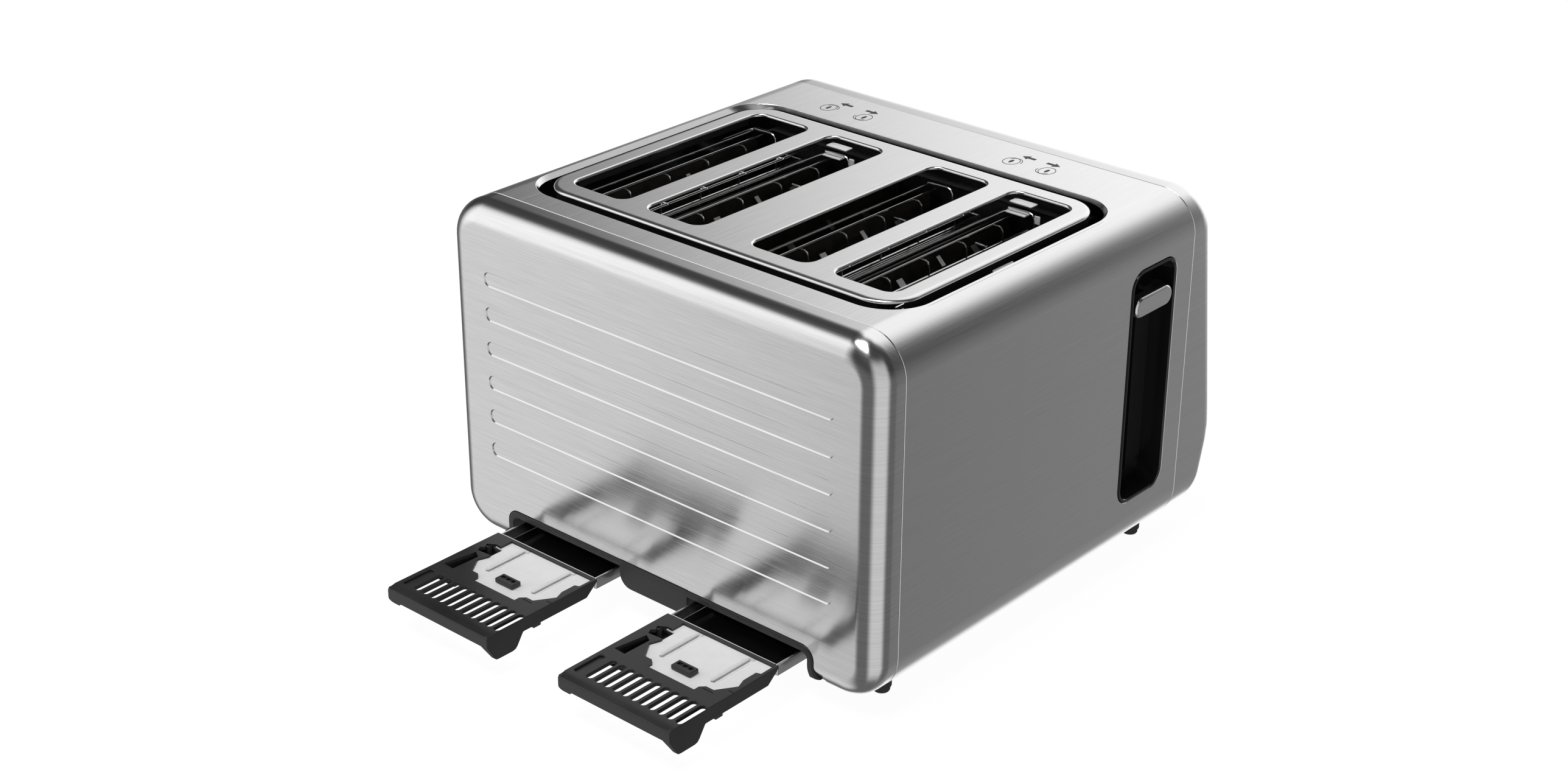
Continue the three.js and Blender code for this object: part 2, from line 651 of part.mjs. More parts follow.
function controlPanel() {
  const plate = roundRect(-PANEL_HALF, PANEL_HALF, -PANEL_RISE, PANEL_RISE, 10);
  const plug = roundRect(
    -PANEL_HALF + 6 + GAP,
    PANEL_HALF - 6 - GAP,
    -PANEL_RISE + 6 + GAP,
    PANEL_RISE - 6 - GAP,
    5.7,
  );
  let panel = alongY(plate, -PANEL_PROUD - GAP, -GAP).add(alongY(plug, -1, 3.5, 2));
  for (const side of SIDES) {
    const x = side * HALF_CENTRE;
    panel = panel.subtract(rod([x, -9, KNOB_DROP], [x, 9, KNOB_DROP], 4.4, 16));
    for (let i = -1; i <= 1; i++) {
      const hole = buttonOutline(x + i * BUTTON_PITCH, 0.4);
      panel = panel.subtract(alongY(hole, -9, 9, 2));
    }
  }
  return onFront(panel);
}

function buttonOutline(x, grow) {
  return roundRect(
    x - 8.5 - grow,
    x + 8.5 + grow,
    BUTTON_ROW - 4.5 - grow,
    BUTTON_ROW + 4.5 + grow,
    4.2 + grow,
  );
}

function pushButton(x) {
  return onFront(alongY(buttonOutline(x, 0), -PANEL_PROUD - 3.2, 5, 2));
}

// Browning knob with its shaft, turned about the normal of the sloping front.
function browningKnob(side) {
  const foot = PANEL_PROUD + GAP * 2;
  const profile = [
    [0, -7],
    [2.8, -7],
    [2.8, foot],
    [17, foot],
    [17.6, foot + 1],
    [16.6, foot + 12],
    [15.2, foot + 13.4],
    [0, foot + 13.4],
  ];
  const grip = turned(profile, 20);
  const marker = box(-0.8, 0.8, -foot - 14, -foot - 8, 5, 16);
  return onFront(grip.add(marker).translate([side * HALF_CENTRE, 0, KNOB_DROP]));
}

function circuitBoard(side) {
  const x = side * HALF_CENTRE;
  const board = box(x - 44, x + 44, 12, 13.6, -32, 30);
  const pot = rod([x, 8.2, KNOB_DROP], [x, 12.5, KNOB_DROP], 8, 12);
  const switches = [-1, 0, 1].map((i) => {
    const centre = x + i * BUTTON_PITCH;
    return box(centre - 3, centre + 3, 8.4, 12.5, BUTTON_ROW - 3, BUTTON_ROW + 3);
  });
  return onFront(joined([board, pot, ...switches]));
}

// ---- Crumb trays ----

function trayOpening() {
  const shape = new THREE.Shape();
  const shiftX = -5.6; // the window sits off the tray's middle
  const outline = [
    [31, -77],
    [31, -67.5],
    [28.4, -66.5],
    [28.4, -57.2],
    [30.5, -51.4],
    [23.6, -41],
    [18.6, -41],
    [16, -38.4],
    [16, -34.9],
  ];
  const points = [...outline, ...outline.map(([x, y]) => [-x, y]).reverse()];
  points.forEach(([x, y], i) => (i ? shape.lineTo(x + shiftX, y) : shape.moveTo(x + shiftX, y)));
  return shape;
}

// Side wall of the tray, drawn in Y and Z: level along most of its length, then rising to the deck.
function sideProfile() {
  const profile = new THREE.Shape();
  profile.moveTo(-0.5, TRAY_TOP);
  profile.lineTo(-0.5, TRAY_TOP - TRAY_WALL);
  profile.lineTo(-71, TRAY_TOP - TRAY_WALL);
  profile.lineTo(-TRAY_BODY, TRAY_TOP - 1.4);
  profile.lineTo(-TRAY_BODY, TRAY_TOP);
  return profile;
}

// Foot under a side wall, drawn in Y and Z: its front leans back from the foot of the fascia.
function footProfile() {
  const profile = new THREE.Shape();
  profile.moveTo(-0.6, TRAY_TOP - TRAY_WALL + 1);
  profile.lineTo(-0.6, TRAY_TOP - TRAY_WALL);
  profile.lineTo(-5.5, TRAY_FOOT_Z + 0.6);
  profile.lineTo(-8, TRAY_FOOT_Z);
  profile.lineTo(-17.5, TRAY_FOOT_Z);
  profile.lineTo(-20.8, TRAY_FOOT_Z + 1.4);
  profile.lineTo(-TRAY_FOOT_LENGTH, TRAY_TOP - TRAY_WALL - 0.4);
  profile.lineTo(-TRAY_FOOT_LENGTH - 2, TRAY_TOP - TRAY_WALL + 1);
  return profile;
}

// Stiffener that joins an end of the fascia to its foot or lobe.
function gusset(side, low, lowerWidth, upperWidth) {
  const outer = side * TRAY_HALF;
  const block = new THREE.Shape();
  block.moveTo(outer, TRAY_TOP - TRAY_WALL + 1);
  block.lineTo(outer, low + 2);
  block.lineTo(outer - side * 1.6, low);
  block.lineTo(outer - side * lowerWidth, low);
  block.lineTo(outer - side * upperWidth, TRAY_TOP - TRAY_WALL + 1);
  return alongY(block, -9, 0).intersect(alongX(footProfile(), -TRAY_HALF - 1, TRAY_HALF + 1));
}

// Plastic front of a crumb tray: fascia with a foot at each end, grille, side walls and the stepped window.
function trayFrame() {
  const deck = box(-TRAY_HALF, TRAY_HALF, -TRAY_BODY + 0.5, -1, TRAY_TOP - TRAY_DECK, TRAY_TOP);
  const wallBox = (side) => {
    const outer = side * TRAY_HALF;
    const inner = side * (TRAY_HALF - 2.4);
    return [Math.min(outer, inner), Math.max(outer, inner)];
  };
  const footWall = alongX(footProfile(), -TRAY_HALF, -TRAY_HALF + 2.4);
  const feet = [footWall, gusset(-1, TRAY_FOOT_Z, 2.6, 5.4), gusset(1, TRAY_LOBE_Z, 6.4, 9.6)];
  const walls = [alongX(sideProfile(), ...wallBox(-1)), alongX(sideProfile(), ...wallBox(1))];
  const fascia = alongY(
    roundRect(-TRAY_HALF, TRAY_HALF, TRAY_TOP - TRAY_WALL + 0.6, TRAY_TOP, 1.2),
    -4.4,
    0,
    1,
  );
  const bars = box(-TRAY_HALF + 1, TRAY_HALF - 1, -30.6, -3, TRAY_TOP - 4.5, TRAY_TOP - 0.5);
  let body = joined([deck, ...walls, ...feet, fascia, bars]).subtract(
    alongZ(trayOpening(), TRAY_TOP - 12, TRAY_TOP + 1),
  );
  const grilleSlot = (x, depth) => {
    const slot = roundRect(x - GRILLE_WIDTH / 2, x + GRILLE_WIDTH / 2, -27.6, -8, 1.6);
    return alongZ(slot, TRAY_TOP - depth, TRAY_TOP + 1, 1);
  };
  for (let i = 0; i < GRILLE_SLOTS; i++) {
    body = body.subtract(grilleSlot(25 - i * GRILLE_PITCH, 12));
  }
  return body.subtract(grilleSlot(33.6, 1.4));
}

// Steel crumb plate behind and under the plastic front, with a low rim and two pressed ribs.
function crumbPlate() {
  const half = TRAY_HALF - 3;
  const front = -33;
  const back = front - CRUMB_PLATE_LENGTH;
  const top = TRAY_TOP - CRUMB_PLATE_DROP;
  const sheet = box(-half, half, back, front, top - THIN_SHEET, top);
  const rims = SIDES.map((side) => {
    const outer = side * half;
    const inner = side * (half - THIN_SHEET);
    return box(Math.min(outer, inner), Math.max(outer, inner), back, -TRAY_BODY - 1, top - 0.4, TRAY_TOP);
  });
  const stop = box(-half, half, back, back + THIN_SHEET, top - 0.4, TRAY_TOP);
  const ribs = SIDES.map((side) => {
    const x = side * 17.6 - 5.4;
    return alongZ(roundRect(x - 1.3, x + 1.3, -75.4, -46.4, 1.2), top - 0.4, top + 0.8, 1);
  });
  return joined([sheet, ...rims, stop, ...ribs]);
}

// Clip of the plastic front that holds the crumb plate.
function trayClip() {
  const top = TRAY_TOP - CRUMB_PLATE_DROP + GAP;
  const body = box(-12, 1, -48.6, -42, top, top + 2.6);
  return body.subtract(box(-10.4, -0.6, -46.6, -44.8, top + 1.4, top + 3));
}

function placeTray(side) {
  const tray = new THREE.Group();
  tray.position.set(side * HALF_CENTRE, TRAY_FACE, 0);
  toaster.add(tray);
  addMesh(`tray_front_${SIDE_NAMES[side]}`, trayFrame(), blackPlastic, tray);
  addMesh(`crumb_plate_${SIDE_NAMES[side]}`, crumbPlate(), innerSteel, tray);
  addMesh(`tray_clip_${SIDE_NAMES[side]}`, trayClip(), blackPlastic, tray);
}

// ---- Assembly ----

addMesh("middle_shell", middleShell(), brushedSteel);
addMesh("rear_cover", rearCover(), brushedSteel);
addMesh("front_cover", frontCover(), brushedSteel);
addMesh("slot_plate", topPlate(), brushedSteel);
addMesh("tray_surround", traySurround(), blackPlastic);
addMesh("base", base(), blackPlastic);
addMesh("cord_bush", cordBush(), rubber);
addMesh("chassis_front", chassisFront(), innerSteel);
addMesh("chassis_rear", chassisRear(), innerSteel);
addMesh("control_panel", controlPanel(), glossBlack);

SLOT_CENTRES.forEach((centre, i) => {
  addMesh(`bread_guard_${i + 1}`, breadGuard(centre), wireChrome);
  addMesh(`bread_rack_${i + 1}`, breadRack(centre), wireChrome);
});

const BUTTON_NAMES = { "-1": "bagel_button", 0: "defrost_button", 1: "cancel_button" };
for (const side of SIDES) {
  const hand = SIDE_NAMES[side];
  const x = side * HALF_CENTRE;
  addMesh(`lever_bezel_${hand}`, leverBezel(side), blackPlastic);
  addMesh(`lever_knob_${hand}`, leverKnob(side), brushedSteel);
  addMesh(`carriage_${hand}`, carriage(side), innerSteel);
  addMesh(`guide_rod_${hand}`, guideRod(side), wireChrome);
  addMesh(`lift_spring_${hand}`, liftSpring(side), wireChrome);
  addMesh(`electromagnet_${hand}`, electromagnet(side), innerSteel);
  addMesh(`circuit_board_${hand}`, circuitBoard(side), circuitGreen);
  addMesh(`browning_knob_${hand}`, browningKnob(side), brushedSteel);
  for (let i = -1; i <= 1; i++) {
    addMesh(`${BUTTON_NAMES[i]}_${hand}`, pushButton(x + i * BUTTON_PITCH), glossBlack);
  }
  ["inner", "middle", "outer"].forEach((place, i) => {
    addMesh(`heater_${place}_${hand}`, heaterBoard(side * (12 + i * 52.2)), mica);
  });
  addMesh(`foot_front_${hand}`, foot(side * FOOT_X, FOOT_FRONT_Y), rubber);
  addMesh(`foot_rear_${hand}`, foot(side * FOOT_X, FOOT_REAR_Y), rubber);
  placeTray(side);
}

// The origin is under the middle of the part: halfway between the browning knobs and the tray fascias.
const bounds = new THREE.Box3().setFromObject(toaster);
toaster.position.y = -Math.round((bounds.min.y + bounds.max.y) / 2);

export default frame;
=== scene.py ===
"""Looks of a four-slice pop-up toaster with a brushed steel casing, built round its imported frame.

Lengths in this script are millimetres. X runs across the slots, Z is up, and Y is measured from the middle
of the casing's sleeve: `place` turns such a point into metres in the part's own frame.
"""

import json
import math

import bpy
from mathutils import Matrix, Vector


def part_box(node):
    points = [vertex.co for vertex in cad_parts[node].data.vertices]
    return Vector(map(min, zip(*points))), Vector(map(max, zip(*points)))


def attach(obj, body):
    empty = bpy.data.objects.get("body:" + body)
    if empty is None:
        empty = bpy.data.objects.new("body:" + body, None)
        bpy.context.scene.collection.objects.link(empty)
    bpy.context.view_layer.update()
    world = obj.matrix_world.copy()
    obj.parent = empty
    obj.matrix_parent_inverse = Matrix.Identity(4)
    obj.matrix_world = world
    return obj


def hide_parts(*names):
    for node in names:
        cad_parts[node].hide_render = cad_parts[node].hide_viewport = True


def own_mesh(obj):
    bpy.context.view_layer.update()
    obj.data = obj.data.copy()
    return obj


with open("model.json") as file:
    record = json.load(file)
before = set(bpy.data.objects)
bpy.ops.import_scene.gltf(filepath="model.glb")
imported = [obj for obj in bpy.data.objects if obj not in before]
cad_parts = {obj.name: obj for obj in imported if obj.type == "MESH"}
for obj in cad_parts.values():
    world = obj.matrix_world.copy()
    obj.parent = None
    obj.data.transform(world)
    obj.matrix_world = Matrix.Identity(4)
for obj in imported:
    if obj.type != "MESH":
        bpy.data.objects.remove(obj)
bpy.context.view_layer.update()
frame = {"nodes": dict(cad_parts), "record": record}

MM = 0.001

# ---- Driving dimensions ----

SHELL_LOW, SHELL_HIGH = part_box("middle_shell")
SLEEVE_Y = (SHELL_LOW.y + SHELL_HIGH.y) / 2 / MM
HALF_WIDTH = 150
TOP = SHELL_HIGH.z / MM
BOTTOM = SHELL_LOW.z / MM
SHEET = 1.2
GAP = 0.3
CORNER = 22.9
SEAM = 123.5
COVER_DEPTH = 18.8
COVER_EDGE = 12.5
FRONT_SLOPE = 0.1423
KNEE_Z = 57.5
TUCK_SLOPE = 0.25
KNEE_ROUND = 9  # how far the knee's rounding reaches above and below it
SEAM_EASE = 0.25  # bevel of the sheet's edges along the seams
REAR_FACE = SEAM + COVER_DEPTH

RIB_COUNT = 6
RIB_PITCH = 20.25
RIB_TOP_Z = 170.5
RIB_HEIGHT = 8.4
RIB_HALF_LENGTH = 122.3
RIB_DEPTH = 0.6

OPENING_X = 131.4
OPENING_FRONT = -83.7
OPENING_REAR = 108.3
OPENING_CORNER = 26
OPENING_LIP = 3.3  # how far the opening's lip reaches inwards at its -X and +X sides
OPENING_LIP_Y = 0.4  # and at its front and rear
OPENING_DROP = 2.7  # height of the lip
PLATE_GAP_X = 8.7
PLATE_GAP_FRONT = 7
PLATE_GAP_REAR = 8
PLATE_RISE = 0.4
PLATE_EDGE = 2.8  # width of the plate's rolled edge
PLATE_DROP = 1.8  # and its height
SLOT_CENTRES = (-91.7, -36.8, 36.8, 91.7)
SLOT_HALF = 19.9
SLOT_LIP = 1.4  # radius of the slots' rolled edges
SLOT_FRONT = -65
SLOT_REAR = 87
SLOT_CORNER = 7

HALF_CENTRE = 64.2
LEVER_Y = -86.8
LEVER_Z = 158.5
LEVER_SLOT_HALF = 20.85
LEVER_SLOT_TOP = 179.9
LEVER_SLOT_BOTTOM = 42.5
LEVER_SLOT_CORNER = 10
LEVER_TUNNEL = 15.3

ROD_Y = -90.5
SPRING_LOW = 14.7
SPRING_HIGH = 136.9
SPRING_RADIUS = 4.8
SPRING_WIRE = 0.6
SPRING_TURNS = 7

NOTCH_X = 111.5
NOTCH_TOP = 32.1
NOTCH_CORNER = 8
NOTCH_FLARE = 6
NOTCH_FOOT = 15.3
TRIM_WIDTH = 3.6
TRIM_PROUD = 0.7
MOUTH_INNER = 25
MOUTH_TOP = 28.2
PILLAR_BOTTOM = 16

KNOB_HALF_LENGTH = 17
KNOB_HALF_HEIGHT = 5.75
KNOB_THICK = 6
KNOB_FACE_X = 151

GUARD_WIRE = 0.9
GUARD_REACH = 11.4
GUARD_FLARE = 17.5
GUARD_LOW = 66
GUARD_HIGH = 186.3
GUARD_TOP = 194.3
GUARD_BEND = 3  # radius of the uprights' bend
GUARD_UPRIGHTS = 5
GUARD_FIRST_Y = -44.5
GUARD_PITCH = 31.5
CHASSIS_FRONT = -70
CHASSIS_REAR = 91
HEATER_X = {"inner": 12, "middle": 64.2, "outer": 116.4}
HEATER_THICK = 1.4
HEATER_TURNS = 15
HEATER_PITCH = 8.2
RAIL_X = 19.2  # distance of a slot's rails from its middle

TRAY_HALF = 38.4
TRAY_TOP = 26
TRAY_FACE = 237.4
TRAY_WALL = 8
TRAY_BODY = 79
TRAY_SIDE = 2.4  # thickness of the tray's side walls
TRAY_FOOT_Z = 9.6
TRAY_FOOT_LENGTH = 25
TRAY_LOBE_Z = 15.8
TRAY_LIP = 5.2  # length of the sloping lip along the front of the tray
GRILLE_SLOTS = 11
GRILLE_PITCH = 6.1
GRILLE_WIDTH = 3.5
CRUMB_PLATE_BACK = -203
CRUMB_PLATE_Z = 24.7
CRUMB_PLATE_THICK = 0.8
CRUMB_RIBS_X = (13.2, -22)
PAN_DROP = 5  # pan's floor below the deck plate

FOOT_X = 129
FOOT_YS = {"front": -114, "rear": 109.3}
FOOT_RADIUS = 5.3

PANEL_Z = 112
PANEL_HALF = 122
PANEL_RISE = 36
PANEL_PROUD = 1.8
KNOB_DROP = -12
BUTTON_ROW = 20
BUTTON_PITCH = 25
DIAL_RADIUS = 22.6
DIAL_NUMBERS = 7
DIAL_STEP = 45
DIAL_TEXT = 4.2
KNOB_FLUTES = 32
KNOB_FLUTE_DEPTH = 0.022  # as a share of the knob's radius
BUTTON_NAMES = {-1: "bagel_button", 0: "defrost_button", 1: "cancel_button"}

SIDES = (-1, 1)
SIDE_NAMES = {-1: "left", 1: "right"}


# ---- Points, outlines and solids ----


def place(point):
    x, y, z = point
    return Vector((x, y + SLEEVE_Y, z)) * MM


def arc(x, y, radius, start, end, steps):
    turns = [math.radians(start + (end - start) * i / steps) for i in range(steps + 1)]
    return [(x + radius * math.cos(turn), y + radius * math.sin(turn)) for turn in turns]


def round_rect(x0, x1, y0, y1, radius, steps=8):
    """Outline with round corners, counter-clockwise."""
    radius = max(radius, 0.05)
    points = arc(x1 - radius, y0 + radius, radius, -90, 0, steps)
    points += arc(x1 - radius, y1 - radius, radius, 0, 90, steps)
    points += arc(x0 + radius, y1 - radius, radius, 90, 180, steps)
    points += arc(x0 + radius, y0 + radius, radius, 180, 270, steps)
    return points


def stand(outline, axis, position):
    """A flat outline as points in space, across the given axis."""
    if axis == "x":
        return [(position, a, b) for a, b in outline]
    if axis == "y":
        return [(a, position, b) for a, b in outline]
    return [(a, b, position) for a, b in outline]


def add_object(name, data):
    piece = bpy.data.objects.new(name, data)
    bpy.context.scene.collection.objects.link(piece)
    return piece


def mesh_piece(name, points, faces):
    mesh = bpy.data.meshes.new(name)
    mesh.from_pydata([place(point) for point in points], [], faces)
    mesh.validate()
    return add_object(name, mesh)


def face_outwards(piece):
    """Turns the faces of a closed mesh to point out of it."""
    mesh = piece.data
    volume = 0
    for polygon in mesh.polygons:
        corners = [mesh.vertices[i].co for i in polygon.vertices]
        for a, b in zip(corners[1:], corners[2:]):
            volume += corners[0].dot(a.cross(b))
    if volume < 0:
        mesh.flip_normals()
    return piece


def loft(name, rings, ends="flat"):
    """Closed body through rings of equal length. Ends are flat faces, or strips across mirrored rings."""
    count = len(rings[0])
    points = [point for ring in rings for point in ring]
    faces = []
    for r in range(len(rings) - 1):
        for i in range(count):
            j = (i + 1) % count
            faces.append((r * count + i, r * count + j, (r + 1) * count + j, (r + 1) * count + i))
    last = (len(rings) - 1) * count
    if ends == "flat":
        faces.append(tuple(reversed(range(count))))
        faces.append(tuple(range(last, last + count)))
    else:
        for i in range(count // 2 - 1):
            j = count - 1 - i
            faces.append((last + i, last + i + 1, last + j - 1, last + j))
            faces.append((i, j, j - 1, i + 1))
    return face_outwards(mesh_piece(name, points, faces))


def stack(name, outline, axis, sections):
    """Closed body whose outline(grow) changes along an axis: sections are (position, grow)."""
    return loft(name, [stand(outline(grow), axis, position) for position, grow in sections])


def quarter_round(steps):
    """Shares of a radius along and across a rounded edge, from where its rounding starts."""
    turns = [math.pi / 2 * i / steps for i in range(steps + 1)]
    return [(1 - math.sin(turn), 1 - math.cos(turn)) for turn in turns]


def soft_edges(low, high, radius, steps=4):
    """Sections of a body from low to high with its two end edges rounded."""
    sections = [(low + radius * along, -radius * across) for along, across in quarter_round(steps)]
    first = [(position, grow) for position, grow in reversed(sections)]
    second = [(low + high - position, grow) for position, grow in sections]
    return sorted(set(first + second))


def box_outline(x0, x1, y0, y1, radius, steps=4):
    return lambda grow: round_rect(x0 - grow, x1 + grow, y0 - grow, y1 + grow, radius + grow, steps)


def block(name, x0, x1, y0, y1, z0, z1, edge=0.4):
    """Box with rounded edges."""
    outline = box_outline(x0, x1, y0, y1, edge, 3)
    return stack(name, outline, "z", soft_edges(z0, z1, edge, 3))


def turned(name, profile, centre, steps=32, axis="z"):
    """Turned body about an axis through centre: profile points are (radius, distance along the axis)."""
    rings = []
    for radius, along in profile:
        circle = stand(arc(0, 0, max(radius, 0.02), 0, 360 * (steps - 1) / steps, steps - 1), axis, along)
        rings.append([(x + centre[0], y + centre[1], z + centre[2]) for x, y, z in circle])
    return loft(name, rings)


def prism(name, outline, axis, low, high):
    """Straight body of one outline."""
    return loft(name, [stand(outline, axis, low), stand(outline, axis, high)])


def capsule(x, y0, y1, half_width):
    """Outline of a round-ended slot along Y."""
    return box_outline(x - half_width, x + half_width, y0, y1, half_width - 0.02, 6)


def bake(piece):
    """Applies a piece's modifiers to its mesh."""
    depsgraph = bpy.context.evaluated_depsgraph_get()
    mesh = bpy.data.meshes.new_from_object(piece.evaluated_get(depsgraph))
    piece.modifiers.clear()
    piece.data = mesh
    return piece


def combine(piece, tools, operation):
    for tool in tools:
        modifier = piece.modifiers.new("combine", "BOOLEAN")
        modifier.operation = operation
        modifier.solver = "EXACT"
        modifier.object = tool
        bake(piece)
        bpy.data.objects.remove(tool)
    return piece


def cut(piece, *tools):
    return combine(piece, tools, "DIFFERENCE")


def join(piece, *tools):
    return combine(piece, tools, "UNION")


def keep(piece, *tools):
    return combine(piece, tools, "INTERSECT")


def group(name, parts):
    """One object of several bodies that stay separate."""
    first = parts[0]
    if len(parts) > 1:
        chosen = {"active_object": first, "object": first, "selected_editable_objects": parts}
        with bpy.context.temp_override(**chosen):
            bpy.ops.object.join()
    first.name = name
    return first


def ease(piece, width):
    """Rounds a piece's sharp edges."""
    modifier = piece.modifiers.new("ease", "BEVEL")
    modifier.width = width * MM
    modifier.segments = 2
    modifier.limit_method = "ANGLE"
    modifier.angle_limit = math.radians(35)
    modifier.miter_outer = "MITER_ARC"
    return bake(piece)


def as_mesh(name, data):
    """Mesh object of a curve or a text."""
    source = add_object(name, data)
    depsgraph = bpy.context.evaluated_depsgraph_get()
    mesh = bpy.data.meshes.new_from_object(source.evaluated_get(depsgraph))
    bpy.data.objects.remove(source)
    return add_object(name, mesh)


def wires(name, paths, radius):
    """Round wires along lists of points, as one mesh."""
    curve = bpy.data.curves.new(name, "CURVE")
    curve.dimensions = "3D"
    curve.bevel_depth = radius * MM
    curve.bevel_resolution = 3
    curve.use_fill_caps = True
    for path in paths:
        spline = curve.splines.new("POLY")
        spline.points.add(len(path) - 1)
        for point, target in zip(spline.points, path):
            point.co = (*place(target), 1)
    return as_mesh(name, curve)


def smooth(piece):
    """Smooth shading between sharp edges, with flat faces kept flat."""
    piece.data.shade_smooth()
    piece.data.set_sharp_from_angle(angle=math.radians(28))
    modifier = piece.modifiers.new("normals", "WEIGHTED_NORMAL")
    modifier.keep_sharp = True
    modifier.weight = 80
    return bake(piece)


def settle(piece, material, slot, body, *nodes):
    """Gives a piece its material and body, and hides the CAD nodes that it stands for. Its slot argument
    is not used.
    """
    smooth(piece)
    piece.data.materials.clear()
    piece.data.materials.append(material)
    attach(piece, body)
    if nodes:
        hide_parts(*nodes)
    return piece


# ---- Materials ----


class Graph:
    """Adds and links the shader nodes of one material or world."""

    def __init__(self, owner):
        owner.use_nodes = True
        self.nodes = owner.node_tree.nodes
        self.links = owner.node_tree.links

    def add(self, kind, inputs=None, **settings):
        node = self.nodes.new(kind)
        for name, value in settings.items():
            setattr(node, name, value)
        for name, value in (inputs or {}).items():
            if isinstance(value, bpy.types.NodeSocket):
                self.links.new(value, node.inputs[name])
            else:
                node.inputs[name].default_value = value
        return node

    def math(self, operation, a, b=0.0):
        return self.add("ShaderNodeMath", {0: a, 1: b}, operation=operation).outputs[0]

    def vector(self, x, y):
        return self.add("ShaderNodeCombineXYZ", {0: x, 1: y}).outputs[0]

    def split(self, vector):
        return self.add("ShaderNodeSeparateXYZ", {"Vector": vector}).outputs

    def vector_math(self, operation, a, b, output):
        return self.add("ShaderNodeVectorMath", {0: a, 1: b}, operation=operation).outputs[output]

    def ramp(self, value, low, high, out_low, out_high, smoothly=False):
        kind = "SMOOTHSTEP" if smoothly else "LINEAR"
        inputs = {"Value": value, "From Min": low, "From Max": high}
        inputs |= {"To Min": out_low, "To Max": out_high}
        return self.add("ShaderNodeMapRange", inputs, interpolation_type=kind, clamp=True).outputs[0]

    def mostly(self, main, rest):
        """Three parts of one value to one part of another."""
        return self.math("ADD", self.math("MULTIPLY", main, 0.75), self.math("MULTIPLY", rest, 0.25))

    def noise(self, vector, scale, detail=2.0, roughness=0.5):
        inputs = {"Vector": vector, "Scale": scale, "Detail": detail, "Roughness": roughness}
        return self.add("ShaderNodeTexNoise", inputs).outputs[0]

    def blend(self, factor, a, b):
        inputs = {0: factor, 6: (*a, 1), 7: (*b, 1)}
        return self.add("ShaderNodeMix", inputs, data_type="RGBA").outputs[2]

    def bump(self, height, distance, strength=1.0):
        inputs = {"Height": height, "Distance": distance, "Strength": strength}
        return self.add("ShaderNodeBump", inputs).outputs[0]


def grey(level):
    return (level, level, level)


def new_material(name, metallic=0.0):
    material = bpy.data.materials.new(name)
    graph = Graph(material)
    shader = graph.nodes["Principled BSDF"]
    shader.inputs["Metallic"].default_value = metallic
    place_texture = graph.add("ShaderNodeTexCoord").outputs["Object"]
    return material, graph, shader, place_texture


def set_surface(graph, shader, colour, roughness, normal):
    graph.links.new(colour, shader.inputs["Base Color"])
    graph.links.new(roughness, shader.inputs["Roughness"])
    graph.links.new(normal, shader.inputs["Normal"])


def brushed_steel(
    name, grain, facing=1, dark=0.7, light=0.8, rough=0.24, stretch=0.75, relief=0.000008
):
    """Steel brushed along X or Y, whose scratches follow the sheet over its round edges.

    facing is the side of the part, +1 or -1, that the piece is on.
    """
    material, graph, shader, where = new_material(name, 1.0)
    part = graph.split(where)
    normal = graph.add("ShaderNodeNewGeometry").outputs["Normal"]
    turned_to = graph.split(normal)
    upright = [graph.math("ABSOLUTE", turned_to[i]) for i in range(3)]
    if grain == "x":
        along = part[0]
        outward = graph.math("ABSOLUTE", graph.math("SUBTRACT", part[1], SLEEVE_Y * MM))
        inward = graph.math("SUBTRACT", outward, REAR_FACE * MM)
        over = graph.math("ADD", upright[1], upright[2])
        scratch = graph.vector(over, graph.math("MULTIPLY", turned_to[0], -facing))
    else:
        along = part[1]
        inward = graph.math("SUBTRACT", graph.math("ABSOLUTE", part[0]), HALF_WIDTH * MM)
        over = graph.math("ADD", upright[0], upright[2])
        scratch = graph.vector(graph.math("MULTIPLY", turned_to[1], -facing), over)
    level = graph.ramp(upright[2], 0.2, 0.5, 0.0, 1.0, True)
    across = graph.math("SUBTRACT", part[2], graph.math("MULTIPLY", inward, level))
    streaks = []
    for fine_along, fine_across in ((30.0, 2600.0), (5.0, 500.0)):
        length = graph.math("MULTIPLY", along, fine_along)
        width = graph.math("MULTIPLY", across, fine_across)
        streaks.append(graph.noise(graph.vector(length, width), 1.0, 3.0, 0.6))
    smudge = graph.noise(where, 9.0, 3.0, 0.55)
    streak = graph.mostly(streaks[0], streaks[1])
    tone = graph.ramp(streak, 0.35, 0.65, 0.0, 1.0)
    colour = graph.blend(tone, grey(dark), grey(light))
    uneven = graph.mostly(streak, smudge)
    roughness = graph.ramp(uneven, 0.35, 0.65, rough - 0.03, rough + 0.04)
    set_surface(graph, shader, colour, roughness, graph.bump(streaks[0], relief, 0.6))
    shader.inputs["Anisotropic"].default_value = stretch
    tangent = graph.vector_math("CROSS_PRODUCT", scratch, normal, 0)
    graph.links.new(tangent, shader.inputs["Tangent"])
    return material


def plain_metal(name, dark, light, rough, metallic=1.0):
    """Rolled or plated metal with faint mottling and handling marks."""
    material, graph, shader, where = new_material(name, metallic)
    mottle = graph.noise(where, 90.0, 4.0, 0.6)
    colour = graph.blend(graph.ramp(mottle, 0.3, 0.7, 0.0, 1.0), grey(dark), grey(light))
    roughness = graph.ramp(graph.noise(where, 35.0, 3.0), 0.3, 0.7, rough - 0.04, rough + 0.06)
    set_surface(graph, shader, colour, roughness, graph.bump(mottle, 0.00002, 0.4))
    return material


def moulded(name, dark, light, rough, grain=0.00003, grain_scale=1500.0):
    """Moulded plastic or rubber: a fine spark texture, with slightly uneven colour and gloss."""
    material, graph, shader, where = new_material(name)
    cloud = graph.noise(where, 28.0, 3.0)
    colour = graph.blend(graph.ramp(cloud, 0.3, 0.7, 0.0, 1.0), grey(dark), grey(light))
    roughness = graph.ramp(cloud, 0.3, 0.7, rough - 0.05, rough + 0.06)
    fine = graph.noise(where, grain_scale, 2.0)
    set_surface(graph, shader, colour, roughness, graph.bump(fine, grain, 0.5))
    return material


